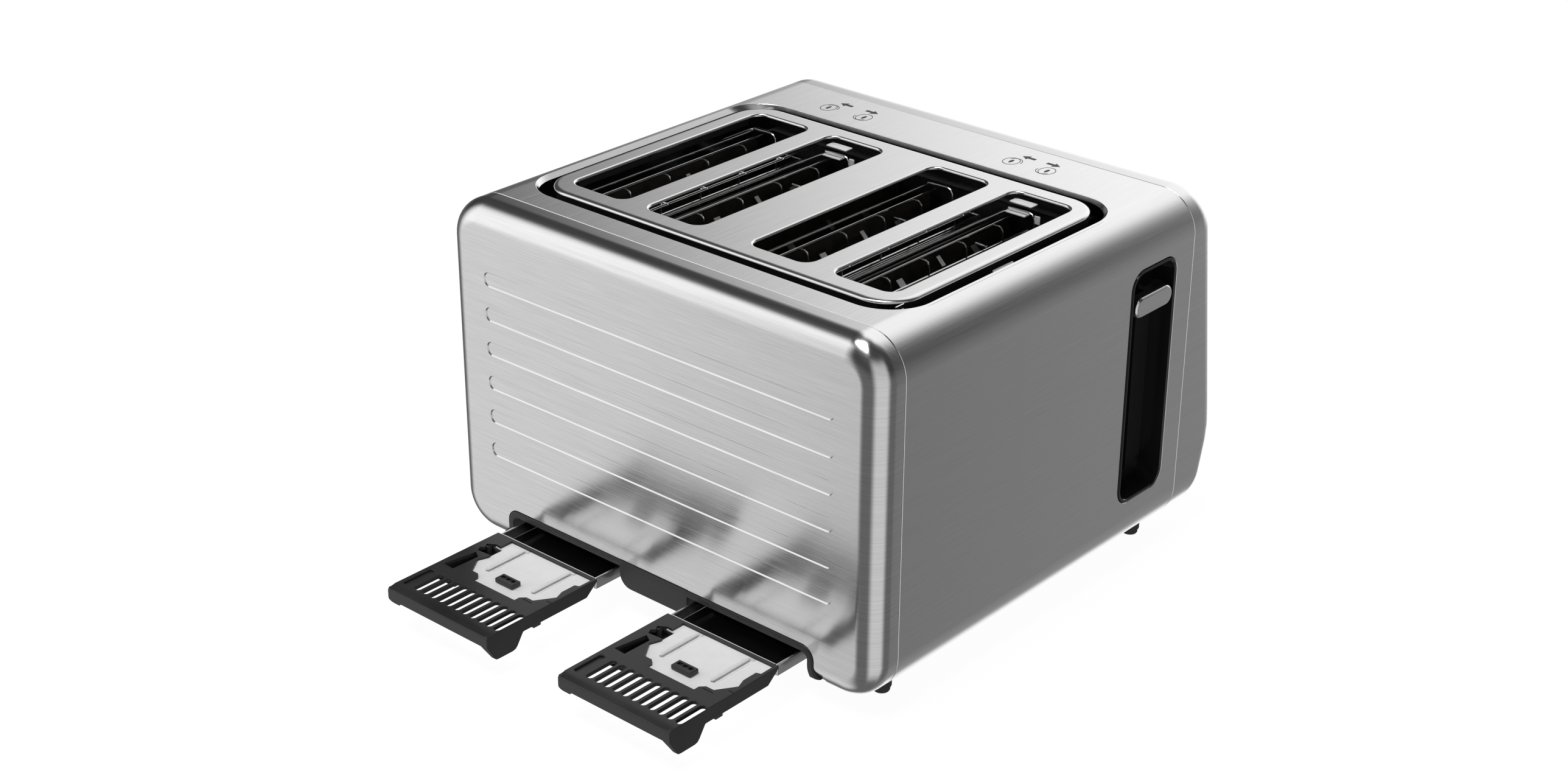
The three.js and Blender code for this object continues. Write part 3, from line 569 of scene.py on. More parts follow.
def mica_sheet():
    """Pressed flakes, near-black as painted shade inside the slots."""
    material, graph, shader, where = new_material("mica_sheet")
    flakes = graph.add("ShaderNodeTexVoronoi", {"Vector": where, "Scale": 260.0}).outputs["Color"]
    tone = graph.add("ShaderNodeRGBToBW", {"Color": flakes}).outputs[0]
    colour = graph.blend(tone, (0.012, 0.011, 0.009), (0.035, 0.031, 0.025))
    roughness = graph.ramp(tone, 0.0, 1.0, 0.42, 0.62)
    set_surface(graph, shader, colour, roughness, graph.bump(tone, 0.00005, 0.5))
    return material


def board_green():
    material, graph, shader, where = new_material("board_green")
    weave = graph.noise(where, 700.0, 2.0)
    cloud = graph.noise(where, 40.0, 2.0)
    colour = graph.blend(cloud, (0.01, 0.07, 0.022), (0.025, 0.13, 0.045))
    roughness = graph.ramp(weave, 0.3, 0.7, 0.3, 0.42)
    set_surface(graph, shader, colour, roughness, graph.bump(weave, 0.00003, 0.4))
    return material


STEEL_REAR = brushed_steel("steel_brushed_rear", "x", 1, 0.68, 0.82, 0.17, 0.75, 0.000018)
STEEL_FRONT = brushed_steel("steel_brushed_front", "x", -1)
STEEL_SLEEVE = brushed_steel("steel_brushed_sleeve", "y", 1, 0.72, 0.79, 0.23, 0.75, 0.000014)
STEEL_LEVER = brushed_steel("steel_brushed_lever", "y", 1, 0.74, 0.84, 0.2, 0.6)
CONTROL_STEEL = plain_metal("control_steel", 0.72, 0.84, 0.22)
INNER_STEEL = plain_metal("inner_steel", 0.5, 0.62, 0.34)
# Near-black steel for the chassis, carriage and racks inside the slots: the dark tone is painted shade.
SHADED_INNER_STEEL = plain_metal("inner_steel_painted_shade", 0.05, 0.09, 0.42)
CRUMB_STEEL = plain_metal("crumb_steel", 0.9, 0.96, 0.5, 0.0)
POLISHED = plain_metal("polished_steel", 0.72, 0.8, 0.2)
MIRROR_STEEL = plain_metal("mirror_steel", 0.84, 0.92, 0.07)
WIRE_CHROME = plain_metal("wire_chrome", 0.68, 0.8, 0.18)
# Near-black heating ribbon: the dark tone is painted shade inside the slots.
RIBBON = plain_metal("heating_ribbon", 0.06, 0.12, 0.4)
BLACK = moulded("black_plastic", 0.014, 0.022, 0.42)
GLOSS_BLACK = moulded("gloss_black", 0.008, 0.011, 0.12, 0.000004, 300.0)
RUBBER = moulded("rubber", 0.012, 0.02, 0.72, 0.00006, 900.0)
INK = moulded("printed_ink", 0.012, 0.02, 0.5, 0.00001, 1200.0)
PALE_PRINT = moulded("pale_print", 0.55, 0.62, 0.5, 0.00001, 1200.0)
MICA = mica_sheet()
GREEN = board_green()

NODE_MATERIALS = {
    "casing_steel": STEEL_SLEEVE,
    "inner_steel": SHADED_INNER_STEEL,
    "wire_chrome": WIRE_CHROME,
    "control_steel": CONTROL_STEEL,
    "black_plastic": BLACK,
    "gloss_black": GLOSS_BLACK,
    "rubber": RUBBER,
    "mica": MICA,
    "circuit_green": GREEN,
}


def dress_cad_nodes():
    """Every CAD node gets the material of its slot; those that a finer piece replaces are hidden later."""
    for part in frame["record"]["subparts"]:
        node = frame["nodes"][part["node"]]
        node.data.materials.clear()
        node.data.materials.append(NODE_MATERIALS[part["material_slot"]])
        node.data.shade_smooth()
        node.data.set_sharp_from_angle(angle=math.radians(32))


# ---- Casing ----


def front_depth(z):
    """How far the front face stands in front of its seam: sloping, then tucked in below a round knee."""
    above = COVER_DEPTH + FRONT_SLOPE * (TOP - z)
    below = COVER_DEPTH + FRONT_SLOPE * (TOP - KNEE_Z) - TUCK_SLOPE * (KNEE_Z - z)
    reach = KNEE_ROUND * (FRONT_SLOPE + TUCK_SLOPE)
    near = max(reach - abs(above - below), 0)
    return min(above, below) - near * near / (4 * reach)


def cover_ring(inset, y_at):
    """Rounded rectangle in X and Z, mirrored left to right, with y_at(z) giving its Y."""
    radius = max(CORNER - inset, 1)
    x = HALF_WIDTH - inset - radius
    upper = TOP - inset - radius
    lower = BOTTOM + inset + radius
    half = arc(x, upper, radius, 90, 0, 12)
    samples = 16
    half += [(x + radius, upper + (lower - upper) * i / samples) for i in range(1, samples)]
    half += arc(x, lower, radius, 0, -90, 12)
    mirrored = [(-px, pz) for px, pz in reversed(half)]
    return [(px, y_at(pz), pz) for px, pz in half + mirrored]


def cover_body(name, outward, depth_at, wall):
    """Body of a cover from its seam to its face, or the hollow inside it where wall is its thickness."""
    edge = COVER_EDGE - wall
    if wall:
        rings = [cover_ring(wall, lambda z: outward * (SEAM - 1))]
    else:
        rings = [cover_ring(SEAM_EASE, lambda z: outward * SEAM)]
        rings.append(cover_ring(0, lambda z: outward * (SEAM + SEAM_EASE)))
    for along, across in quarter_round(12):
        short = wall + edge * along
        rings.append(cover_ring(wall + edge * across, lambda z: outward * (SEAM + depth_at(z) - short)))
    return loft(name, rings, "strips")


def cover_shell(name, outward, depth_at):
    return cut(cover_body(name, outward, depth_at, 0), cover_body("hollow", outward, depth_at, SHEET))


def notch_outline(grow):
    """Opening for the trays in X and Z: round upper corners, and lower ends that flare outwards."""
    x = NOTCH_X + grow
    top = NOTCH_TOP + grow
    corner = NOTCH_CORNER + grow
    flare = NOTCH_FLARE - grow
    bend = NOTCH_FOOT + NOTCH_FLARE
    half = [(x + flare, BOTTOM - 20)]
    half += arc(x + flare, bend, flare, 270, 180, 8)
    half += arc(x - corner, top - corner, corner, 0, 90, 8)
    return half + [(-px, pz) for px, pz in reversed(half)]


def rib_outline(z):
    """Outline of a pressed rib whose top edge is at z."""
    return box_outline(-RIB_HALF_LENGTH, RIB_HALF_LENGTH, z - RIB_HEIGHT, z, 3.6, 6)


def make_rear_cover():
    cover = cover_shell("rear_cover_steel", 1, lambda z: COVER_DEPTH)
    ribs = []
    for i in range(RIB_COUNT):
        sections = [(REAR_FACE - RIB_DEPTH, -0.6), (REAR_FACE + RIB_DEPTH, 0.6)]
        ribs.append(stack("rib", rib_outline(RIB_TOP_Z - i * RIB_PITCH), "y", sections))
    notch = stack("notch", notch_outline, "y", [(SEAM - 5, 0), (REAR_FACE + 5, 0)])
    cut(cover, notch, *ribs)
    settle(cover, STEEL_REAR, "casing_steel", "toaster", "rear_cover")


def opening_outline(grow_x, grow_y):
    x = OPENING_X + grow_x
    return round_rect(-x, x, OPENING_FRONT - grow_y, OPENING_REAR + grow_y, OPENING_CORNER + grow_x, 14)


def lip_ring(z, ease=0.0):
    """Outline of the opening's lip at a height: sloping at the sides, nearly upright elsewhere."""
    share = min(max(TOP - z, 0), OPENING_DROP) / OPENING_DROP
    return stand(opening_outline(ease - OPENING_LIP * share, ease - OPENING_LIP_Y * share), "z", z)


def lever_slot_outline(grow):
    front = LEVER_Y - LEVER_SLOT_HALF
    rear = LEVER_Y + LEVER_SLOT_HALF
    slot = box_outline(front, rear, LEVER_SLOT_BOTTOM, LEVER_SLOT_TOP, LEVER_SLOT_CORNER, 10)
    return slot(grow)


def make_middle_shell():
    end = SEAM - GAP
    outer = box_outline(-HALF_WIDTH, HALF_WIDTH, BOTTOM, TOP, CORNER, 14)
    full = end - SEAM_EASE
    lengths = [(-end, -SEAM_EASE), (-full, 0), (full, 0), (end, -SEAM_EASE)]
    shell = stack("middle_shell_steel", outer, "y", lengths)
    hollow = stack("hollow", outer, "y", [(-SEAM - 1, -SHEET), (SEAM + 1, -SHEET)])
    low = TOP - OPENING_DROP
    sheet_ring = stand(opening_outline(SHEET - OPENING_LIP, SHEET), "z", low)
    flange = loft("flange", [sheet_ring, stand(opening_outline(SHEET, SHEET), "z", TOP - SHEET / 2)])
    rings = [stand(opening_outline(-OPENING_LIP, -OPENING_LIP_Y), "z", TOP - 10), lip_ring(low)]
    for rise, eased in ((-0.25, 0), (-0.05, 0.15), (0.05, 0.6), (1, 3)):
        rings.append(lip_ring(TOP + rise, eased))
    opening = loft("opening", rings)
    under = block("under", -105, 105, -SEAM - 1, SEAM + 1, BOTTOM - 1, BOTTOM + 2, 0.1)
    join(cut(shell, hollow), flange)
    cut(shell, opening, under)
    for side in SIDES:
        depth = [(HALF_WIDTH - 3, GAP), (HALF_WIDTH - 0.4, GAP), (HALF_WIDTH + 0.3, GAP + 0.7)]
        sections = [(side * position, grow) for position, grow in depth]
        cut(shell, stack("lever_hole", lever_slot_outline, "x", sections))
    settle(shell, STEEL_SLEEVE, "casing_steel", "toaster", "middle_shell")


def slot_outline(centre):
    return box_outline(centre - SLOT_HALF, centre + SLOT_HALF, SLOT_FRONT, SLOT_REAR, SLOT_CORNER, 10)


def dome(top, width, height, inset):
    """Sections of a plate whose edges roll down to its given height."""
    return [(top - height * along, -width * across - inset) for along, across in quarter_round(10)]


def make_slot_plate():
    top = TOP + PLATE_RISE
    reach = OPENING_X - PLATE_GAP_X
    front = OPENING_FRONT + PLATE_GAP_FRONT
    rear = OPENING_REAR - PLATE_GAP_REAR
    outline = box_outline(-reach, reach, front, rear, OPENING_CORNER - PLATE_GAP_REAR + 2, 14)
    plate = stack("slot_plate_steel", outline, "z", dome(top, PLATE_EDGE, PLATE_DROP, 0))
    under = dome(top - SHEET, PLATE_EDGE - SHEET, PLATE_DROP - SHEET, SHEET)
    cut(plate, stack("cavity", outline, "z", [(top - PLATE_DROP - 1, -SHEET)] + under))
    mouth = [(TOP - 9, 0)]
    mouth += [(top - SLOT_LIP * along, SLOT_LIP * across) for along, across in quarter_round(6)]
    mouth[-1] = (top + 0.1, mouth[-1][1] + 0.2)
    for centre in SLOT_CENTRES:
        lip = [(top - SLOT_LIP, SLOT_LIP), (top - SHEET + 0.1, SLOT_LIP)]
        join(plate, stack("lip", slot_outline(centre), "z", lip))
    for centre in SLOT_CENTRES:
        cut(plate, stack("slot", slot_outline(centre), "z", mouth))
    under = top - SHEET + 0.1
    tab = [(112, under), (113.5, under), (124.5, TOP - 9.4), (124.5, TOP - 10.8), (112, TOP - 1.6)]
    for side in SIDES:
        join(plate, prism("tab", [(side * x, z) for x, z in tab], "y", 2, 19))
    settle(plate, STEEL_SLEEVE, "casing_steel", "toaster", "slot_plate")


def make_plate_skirts():
    """Black strips that hang under the edges of the slot plate: their black is painted shade in the gap
    round the plate.
    """
    inset = 2
    corner = 12
    reach = OPENING_X - PLATE_GAP_X
    front = OPENING_FRONT + PLATE_GAP_FRONT
    rear = OPENING_REAR - PLATE_GAP_REAR
    skirts = []
    for y in (front + inset, rear - inset - SHEET):
        skirts.append(block("skirt", corner - reach, reach - corner, y, y + SHEET, TOP - 9, TOP - 1, 0.3))
    for x in (inset - reach, reach - inset - SHEET):
        skirts.append(block("skirt", x, x + SHEET, front + corner, rear - corner, TOP - 9, TOP - 1, 0.3))
    settle(group("plate_skirts_painted_shade", skirts), BLACK, "black_plastic", "toaster")


def make_tray_surround():
    back = SEAM + 1.5
    face = REAR_FACE + TRIM_PROUD
    edge = 1.2
    outer = [(back, -GAP), (face - edge, -GAP)]
    outer += [(face - edge * 0.3, -GAP - edge * 0.3), (face, -GAP - edge)]
    ring = stack("tray_surround_trim", notch_outline, "y", outer)
    inset = -GAP - TRIM_WIDTH
    cut(ring, stack("mouth", notch_outline, "y", [(back - 1, inset), (face + 1, inset)]))
    reach = NOTCH_X + NOTCH_FLARE - GAP
    keep(ring, block("limits", -reach, reach, back - 1, face + 1, NOTCH_FOOT, NOTCH_TOP, 0.2))
    sill = NOTCH_X - TRIM_WIDTH / 2
    lintel = block("lintel", -sill, sill, back, face - 0.6, MOUTH_TOP, NOTCH_TOP - TRIM_WIDTH / 2, 0.5)
    pillar_outline = box_outline(-MOUTH_INNER, MOUTH_INNER, PILLAR_BOTTOM, NOTCH_TOP + 9, 8, 8)
    depths = [(back, 0), (face - 1, 0), (face - 0.3, -0.3), (face, -1)]
    pillar = stack("pillar", pillar_outline, "y", depths)
    inside = stack("inside", notch_outline, "y", [(back - 1, -GAP - 0.1), (face + 1, -GAP - 0.1)])
    join(ring, keep(join(lintel, pillar), inside))
    settle(ring, BLACK, "black_plastic", "toaster", "tray_surround")


# ---- Lever gear ----


def make_lever_bezel(side):
    """Black tunnel behind a lever slot, with a rounded lip and a slit for the lever's arm."""
    floor = HALF_WIDTH - LEVER_TUNNEL + 2
    mouth = HALF_WIDTH
    outer = [(floor - 2, 0), (mouth - 0.2, 0), (mouth + 0.3, -0.2), (mouth + 0.5, -0.7)]
    inner = [(floor, -2.4), (mouth - 1, -2), (mouth, -1.9), (mouth + 0.4, -1.5), (mouth + 3, 1)]
    outer = [(side * x, grow) for x, grow in outer]
    inner = [(side * x, grow) for x, grow in inner]
    hand = SIDE_NAMES[side]
    bezel = stack(f"lever_bezel_moulding_{hand}", lever_slot_outline, "x", outer)
    cut(bezel, stack("tunnel", lever_slot_outline, "x", inner))
    slit = round_rect(LEVER_Y - 5, LEVER_Y + 5, LEVER_SLOT_BOTTOM + 9, LEVER_SLOT_TOP - 2.4, 3, 5)
    cut(bezel, prism("slit", slit, "x", *sorted((side * (floor - 5), side * (floor + 0.1)))))
    settle(bezel, GLOSS_BLACK, "black_plastic", "toaster", f"lever_bezel_{hand}")


def make_lever_knob(side):
    """Capsule-shaped knob whose face is brushed inside a bright chamfer."""
    ends = (LEVER_Y - KNOB_HALF_LENGTH, LEVER_Y + KNOB_HALF_LENGTH)
    edges = (LEVER_Z - KNOB_HALF_HEIGHT, LEVER_Z + KNOB_HALF_HEIGHT)
    outline = box_outline(*ends, *edges, KNOB_HALF_HEIGHT - 0.02, 12)
    back = KNOB_FACE_X - KNOB_THICK
    face = KNOB_FACE_X
    sections = [(back, -0.5), (back + 0.5, 0), (face - 1.1, 0), (face - 0.8, -0.1), (face - 0.15, -0.75)]
    sections += [(face, -1.1), (face, -1.4)]
    hand = SIDE_NAMES[side]
    knob = stack(f"lever_knob_steel_{hand}", outline, "x", [(side * x, grow) for x, grow in sections])
    settle(knob, STEEL_LEVER, "casing_steel", f"lever_{hand}", f"lever_knob_{hand}")


def make_lift_spring(side):
    """Coil spring round the guide rod, which the carriage presses together on its way down."""
    x = side * HALF_CENTRE
    steps = SPRING_TURNS * 16
    path = []
    for i in range(steps + 1):
        share = i / steps
        turn = 2 * math.pi * SPRING_TURNS * share
        around = (x + SPRING_RADIUS * math.cos(turn), ROD_Y + SPRING_RADIUS * math.sin(turn))
        path.append((*around, SPRING_LOW + (SPRING_HIGH - SPRING_LOW) * share))
    hand = SIDE_NAMES[side]
    spring = wires(f"lift_spring_wire_{hand}", [path], SPRING_WIRE)
    settle(spring, WIRE_CHROME, "wire_chrome", "toaster", f"lift_spring_{hand}")
    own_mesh(spring)


def make_foot(side, end):
    """Rubber foot: a stepped plug with a hollow underneath."""
    radius = FOOT_RADIUS
    hollow = [(1.4, 1.2), (1.7, 0.2)]
    tread = [(radius - 1.9, 0), (radius - 1.2, 0.25), (radius - 0.8, 0.9), (radius - 0.6, 2.9)]
    plug = [(radius - 0.1, 3.3), (radius, 3.7), (radius, BOTTOM - 0.7), (radius - 0.3, BOTTOM - 0.3)]
    hand = SIDE_NAMES[side]
    centre = (side * FOOT_X, FOOT_YS[end], 0)
    foot = turned(f"foot_rubber_{end}_{hand}", hollow + tread + plug, centre)
    settle(foot, RUBBER, "rubber", "toaster", f"foot_{end}_{hand}")


# ---- Inside the slots ----


def guard_side(centre, side):
    """Wires of one side of a bread guard: long ones, and uprights that curl outwards at their tops."""
    front = SLOT_FRONT - 2
    rear = SLOT_REAR + 1
    x = centre + side * GUARD_REACH
    end = centre + side * (GUARD_FLARE + GUARD_WIRE / 2)
    paths = [[(x, front, z), (x, rear, z)] for z in (GUARD_LOW, GUARD_LOW + 60, GUARD_HIGH)]
    bend = GUARD_BEND
    for i in range(GUARD_UPRIGHTS):
        y = GUARD_FIRST_Y + i * GUARD_PITCH
        path = [(x, y, GUARD_LOW - 7), (x, y, GUARD_TOP - bend)]
        for along, across in quarter_round(8)[1:]:
            path.append((x + side * bend * across, y, GUARD_TOP - bend * along))
        path.append((end, y, GUARD_TOP))
        paths.append(path)
    return paths


def guard_lines(centre, side):
    """Pairs of thin wires that tie the uprights together near their tops."""
    front = SLOT_FRONT - 1.5
    rear = SLOT_REAR + 0.5
    lines = []
    for x, z in ((GUARD_FLARE, GUARD_TOP + 0.9), (GUARD_REACH + 0.9, GUARD_HIGH - 0.8)):
        for step in (0, 0.9):
            at = centre + side * (x + 0.3 * step)
            lines.append([(at, front, z - step), (at, rear, z - step)])
    return lines


def make_bread_guard(number, centre):
    front = SLOT_FRONT - 1.4
    rear = SLOT_REAR + 0.4
    paths = guard_side(centre, -1) + guard_side(centre, 1)
    left = centre - GUARD_REACH
    right = centre + GUARD_REACH
    paths.append([(left, front, GUARD_HIGH), (right, front, GUARD_HIGH)])
    for z in (GUARD_LOW, GUARD_HIGH):
        paths.append([(left, rear, z), (right, rear, z)])
    for y in (GUARD_FIRST_Y + 15.5, GUARD_FIRST_Y + 15.5 + 3 * GUARD_PITCH):
        paths.append([(centre + GUARD_REACH - 2, y, TOP - 19), (centre + GUARD_FLARE, y, TOP - 19)])
    bend = [(centre + 18, -58, TOP - 7.2), (centre + 4.5, -58, TOP - 6.8), (centre + 2.4, -58, TOP - 7.6)]
    paths.append([*bend, (centre + 1.2, -58, TOP - 9.4), (centre + 0.9, -58, TOP - 16)])
    guard = wires(f"guard_thick_{number}", paths, GUARD_WIRE * 0.66)
    lines = guard_lines(centre, -1) + guard_lines(centre, 1)
    thin = wires(f"guard_thin_{number}", lines, GUARD_WIRE * 0.3)
    guard = group(f"bread_guard_wires_{number}", [guard, thin])
    settle(guard, WIRE_CHROME, "wire_chrome", "toaster", f"bread_guard_{number}")


def make_heater(side, row, x):
    """Mica board with flat heating ribbon wound round it, and bent clips along its top."""
    front = CHASSIS_FRONT + 1.5
    rear = CHASSIS_REAR - 1.5
    hand = SIDE_NAMES[side]
    half = HEATER_THICK / 2
    board = block(f"heater_board_{row}_{hand}", x - half, x + half, front, rear, 48, 190.5, 0.2)
    settle(board, MICA, "mica", "toaster", f"heater_{row}_{hand}")
    windings = []
    for i in range(HEATER_TURNS):
        z = 60 + i * HEATER_PITCH
        for face in SIDES:
            near, far = sorted((x + face * (half + 0.05), x + face * (half + 0.25)))
            windings.append(block("ribbon", near, far, front + 3, rear - 3, z, z + 1.3, 0.05))
    settle(group(f"heater_ribbon_{row}_{hand}", windings), RIBBON, "inner_steel", "toaster")
    clips = []
    for i in range(GUARD_UPRIGHTS):
        y = GUARD_FIRST_Y + i * GUARD_PITCH + 5
        for face in SIDES:
            low = 177 + 3 * (i % 2)
            tab = [(half, low + 3.8), (4.6, low), (5.1, low + 0.5), (half, low + 4.8)]
            tab = [(x + face * out, z) for out, z in tab]
            clips.append(prism("tab", tab, "y", y - 2.4, y + 2.4 - 1.8 * (i % 2)))
    settle(group(f"heater_clips_{row}_{hand}", clips), INNER_STEEL, "inner_steel", "toaster")


def make_slot_rails(number, centre):
    """Steel channel under each long edge of a slot, and, for the first and third slots, the guide plates
    by its front end.
    """
    rails = []
    for side in SIDES:
        x = centre + side * RAIL_X
        front = SLOT_FRONT + 3
        rear = SLOT_REAR - 3
        rails.append(block("rail", x - 0.7, x + 0.7, front, rear, TOP - 9.4, TOP - 8.2, 0.5))
    settle(group(f"slot_rails_{number}", rails), WIRE_CHROME, "inner_steel", "toaster")
    if number % 2:
        guides = [
            block("guide", centre + 4, centre + 18.5, -65, -59, TOP - 4.6, TOP - 3.8, 0.3),
            block("guide", centre + 6, centre + 20, -61, -56, TOP - 9.6, TOP - 8.8, 0.3),
            block("guide_end", centre - 1.4, centre + 2.2, -60.4, -59.6, TOP - 13, TOP - 8.4, 0.3),
        ]
        settle(group(f"slot_guides_{number}", guides), CRUMB_STEEL, "inner_steel", "toaster")


# ---- Crumb trays ----


def tray_profile():
    """Side view of the tray's deck and fascia in Y and Z, with the fascia at Y = 0."""
    thin = TRAY_TOP - 1.8
    fascia = arc(-1.3, TRAY_TOP - 2.3, 1.3, 75, 0, 5)
    foot = arc(-1, TRAY_TOP - TRAY_WALL + 1.2, 1, 0, -90, 4)
    inside = [(-2.6, TRAY_TOP - TRAY_WALL + 0.2), (-2.9, TRAY_TOP - 3.4), (-TRAY_LIP - 1, thin)]
    return [(-TRAY_BODY, thin), (-TRAY_BODY, TRAY_TOP), (-TRAY_LIP, TRAY_TOP), *fascia, *foot, *inside]


def tray_wall_profile():
    low = TRAY_TOP - TRAY_WALL
    front = [(-0.6, TRAY_TOP - 0.6), (-0.6, low)]
    return [*front, (-71, low), (-TRAY_BODY, TRAY_TOP - 1.4), (-TRAY_BODY, TRAY_TOP - 0.2)]


def tray_foot_profile():
    low = TRAY_TOP - TRAY_WALL
    heel = [(-17.5, TRAY_FOOT_Z), (-19.6, TRAY_FOOT_Z + 0.5), (-21, TRAY_FOOT_Z + 1.9)]
    toe = [(-0.6, low + 1), (-0.6, low), (-5.2, TRAY_FOOT_Z + 1)]
    toe += [(-6.2, TRAY_FOOT_Z + 0.2), (-8, TRAY_FOOT_Z)]
    return [*toe, *heel, (-TRAY_FOOT_LENGTH, low - 0.4), (-TRAY_FOOT_LENGTH - 2, low + 1)]


def tray_end(side, x_from, x_to, low):
    """Stiffener at an end of the fascia, which its foot or lobe stands on."""
    outer = side * TRAY_HALF
    top = TRAY_TOP - TRAY_WALL + 1
    shape = [(outer, top), (outer, low + 2), (outer - side * 0.5, low + 0.6), (outer - side * 1.8, low)]
    shape += [(outer - side * x_from, low), (outer - side * x_to, top)]
    limit = prism("limit", tray_foot_profile(), "x", -TRAY_HALF - 1, TRAY_HALF + 1)
    return keep(prism("end", shape, "y", -9, 0), limit)


def settle_on_tray(piece, side, material, slot, *nodes):
    """Settles a piece drawn about the middle of a tray's fascia in its place on the tray."""
    piece.data.transform(Matrix.Translation(Vector((side * HALF_CENTRE, TRAY_FACE, 0)) * MM))
    hand = SIDE_NAMES[side]
    settle(piece, material, slot, f"tray_{hand}", *[f"{node}_{hand}" for node in nodes])


def tray_window():
    """Stepped window outline in X and Y, the same on both sides of its middle."""
    middle = -5.6
    half = [(31, -77), (31, -67.5), (28.4, -66.5), (28.4, -57.2), (30.5, -51.4)]
    half += [(23.6, -41), (18.6, -41), (16, -38.4), (16, -34.9)]
    return [(middle + x, y) for x, y in half] + [(middle - x, y) for x, y in reversed(half)]


def make_tray_front(side):
    """Black moulded front of a crumb tray: lipped fascia, grille, stepped window, side walls and feet."""
    hand = SIDE_NAMES[side]
    front = prism(f"tray_moulding_{hand}", tray_profile(), "x", -TRAY_HALF, TRAY_HALF)
    ease(front, 0.45)
    for end in SIDES:
        low, high = sorted((end * TRAY_HALF, end * (TRAY_HALF - TRAY_SIDE)))
        join(front, ease(prism("wall", tray_wall_profile(), "x", low, high), 0.35))
    foot = prism("foot", tray_foot_profile(), "x", -TRAY_HALF, -TRAY_HALF + TRAY_SIDE)
    join(front, ease(foot, 0.4), tray_end(-1, 2.6, 5.4, TRAY_FOOT_Z), tray_end(1, 6.4, 9.6, TRAY_LOBE_Z))
    under = TRAY_TOP - TRAY_WALL - 1.5
    join(front, block("tab", -TRAY_HALF + 0.1, -TRAY_HALF + TRAY_SIDE, -37.8, -32.5, under, TRAY_TOP - 6))
    bar = TRAY_HALF - 1
    join(front, block("rear_bar", -bar, bar, -78.9, -77.2, TRAY_TOP - 1.5, TRAY_TOP - 0.1, 0.2))
    pocket_plate = block("pocket_plate", 21, TRAY_HALF - 1, -76, -31, TRAY_TOP - 7.4, TRAY_TOP - 6.4)
    windows = [prism("window", tray_window(), "z", TRAY_TOP - 4, TRAY_TOP + 1)]
    pocket = [(34.5, -36), (31.2, -56), (26.4, -53.3), (26.9, -35.6)]
    windows.append(prism("pocket", pocket, "z", TRAY_TOP - 5, TRAY_TOP + 1))
    side_pocket = [(32, -58), (33.6, -61), (31.6, -63), (33.4, -66), (29, -69), (22, -68.4), (22, -58.8)]
    windows.append(prism("pocket", side_pocket, "z", TRAY_TOP - 5, TRAY_TOP + 1))
    for x in [25 - i * GRILLE_PITCH for i in range(GRILLE_SLOTS)]:
        slot = capsule(x, -27.6, -8, GRILLE_WIDTH / 2)
        depths = [(TRAY_TOP - 6, 0), (TRAY_TOP - 0.7, 0), (TRAY_TOP - 0.3, 0.15), (TRAY_TOP + 0.3, 0.75)]
        windows.append(stack("slot", slot, "z", depths))
    blind = [(TRAY_TOP - 1.2, 0), (TRAY_TOP - 0.5, 0), (TRAY_TOP + 0.3, 0.6)]
    windows.append(stack("slot", capsule(33.6, -27.6, -8, GRILLE_WIDTH / 2), "z", blind))
    low = TRAY_TOP - 0.4
    for x, y, length in ((-24, -38.6, 7), (-35, -45.4, 4.6)):
        windows.append(block("groove", x - length, x, y - 0.3, y + 0.3, low, TRAY_TOP + 1, 0.1))
    cut(front, *windows)
    join(front, pocket_plate)
    settle_on_tray(front, side, BLACK, "black_plastic", "tray_front")
    profile = [(0.7, -1), (0.9, 0.8), (1.5, 1), (1.9, 0.6), (2, -5)]
    post = turned(f"tray_post_{hand}", profile, (32.8, -66.3, TRAY_TOP - 1.4), 16)
    settle_on_tray(post, side, BLACK, "black_plastic")


def make_crumb_plate(side):
    """Pale deck plate in the window with two hooked ribs, and the polished steel pan behind it."""
    hand = SIDE_NAMES[side]
    half = TRAY_HALF - 3
    thick = CRUMB_PLATE_THICK
    top = CRUMB_PLATE_Z
    outline = [(-half, -33), (-half, -77.4), (30, -77.4), (30, -68.8)]
    outline += [(23.3, -68.4), (23.3, -58.9), (25, -57), (25, -33)]
    plate = prism(f"crumb_deck_{hand}", outline, "z", top - thick, top)
    for x in CRUMB_RIBS_X:
        for at in (x - 2.6, x + 2.4):
            cut(plate, block("crease", at - 0.12, at + 0.12, -74, -49, top - 0.25, top + 1, 0.05))
    settle_on_tray(plate, side, CRUMB_STEEL, "inner_steel", "crumb_plate")
    ribs = []
    for x in CRUMB_RIBS_X:
        heights = [(top - 0.1, 0), (top + 0.4, 0), (top + 0.8, -0.3)]
        rib = stack("rib", capsule(x, -75.4, -46.6, 1.1), "z", heights)
        hook = arc(x - 1.5, -75.6, 1.4, 0, 330, 11)
        ribs.append(join(rib, loft("hook", [stand(hook, "z", top - 0.1), stand(hook, "z", top + 0.6)])))
        ribs.append(block("edge", x - 1.7, x - 1.2, -74, -47, top - 0.1, top + 0.15, 0.05))
    settle_on_tray(group(f"crumb_ribs_{hand}", ribs), side, POLISHED, "inner_steel")
    low = top - PAN_DROP
    far = CRUMB_PLATE_BACK
    near = -79.4
    rim_top = TRAY_TOP - 0.4
    pan = block(f"crumb_pan_{hand}", -half, half, far, near, low - thick, low, 0.2)
    join(pan, block("stop", -half, half, far, far + 1, low - 0.4, rim_top, 0.3))
    slope = [(near, low - thick), (near, rim_top), (near - 0.4, rim_top), (near - 6.2, low - 0.1)]
    join(pan, prism("slope", slope, "x", -half, half))
    settle_on_tray(pan, side, MIRROR_STEEL, "inner_steel")
    rims = []
    for edge in SIDES:
        x0, x1 = sorted((edge * (half + 0.1), edge * (half + 1.6)))
        rims.append(block("rim", x0, x1, far, near, low - thick, TRAY_TOP - 0.3, 0.6))
    settle_on_tray(group(f"crumb_rims_{hand}", rims), side, POLISHED, "inner_steel")


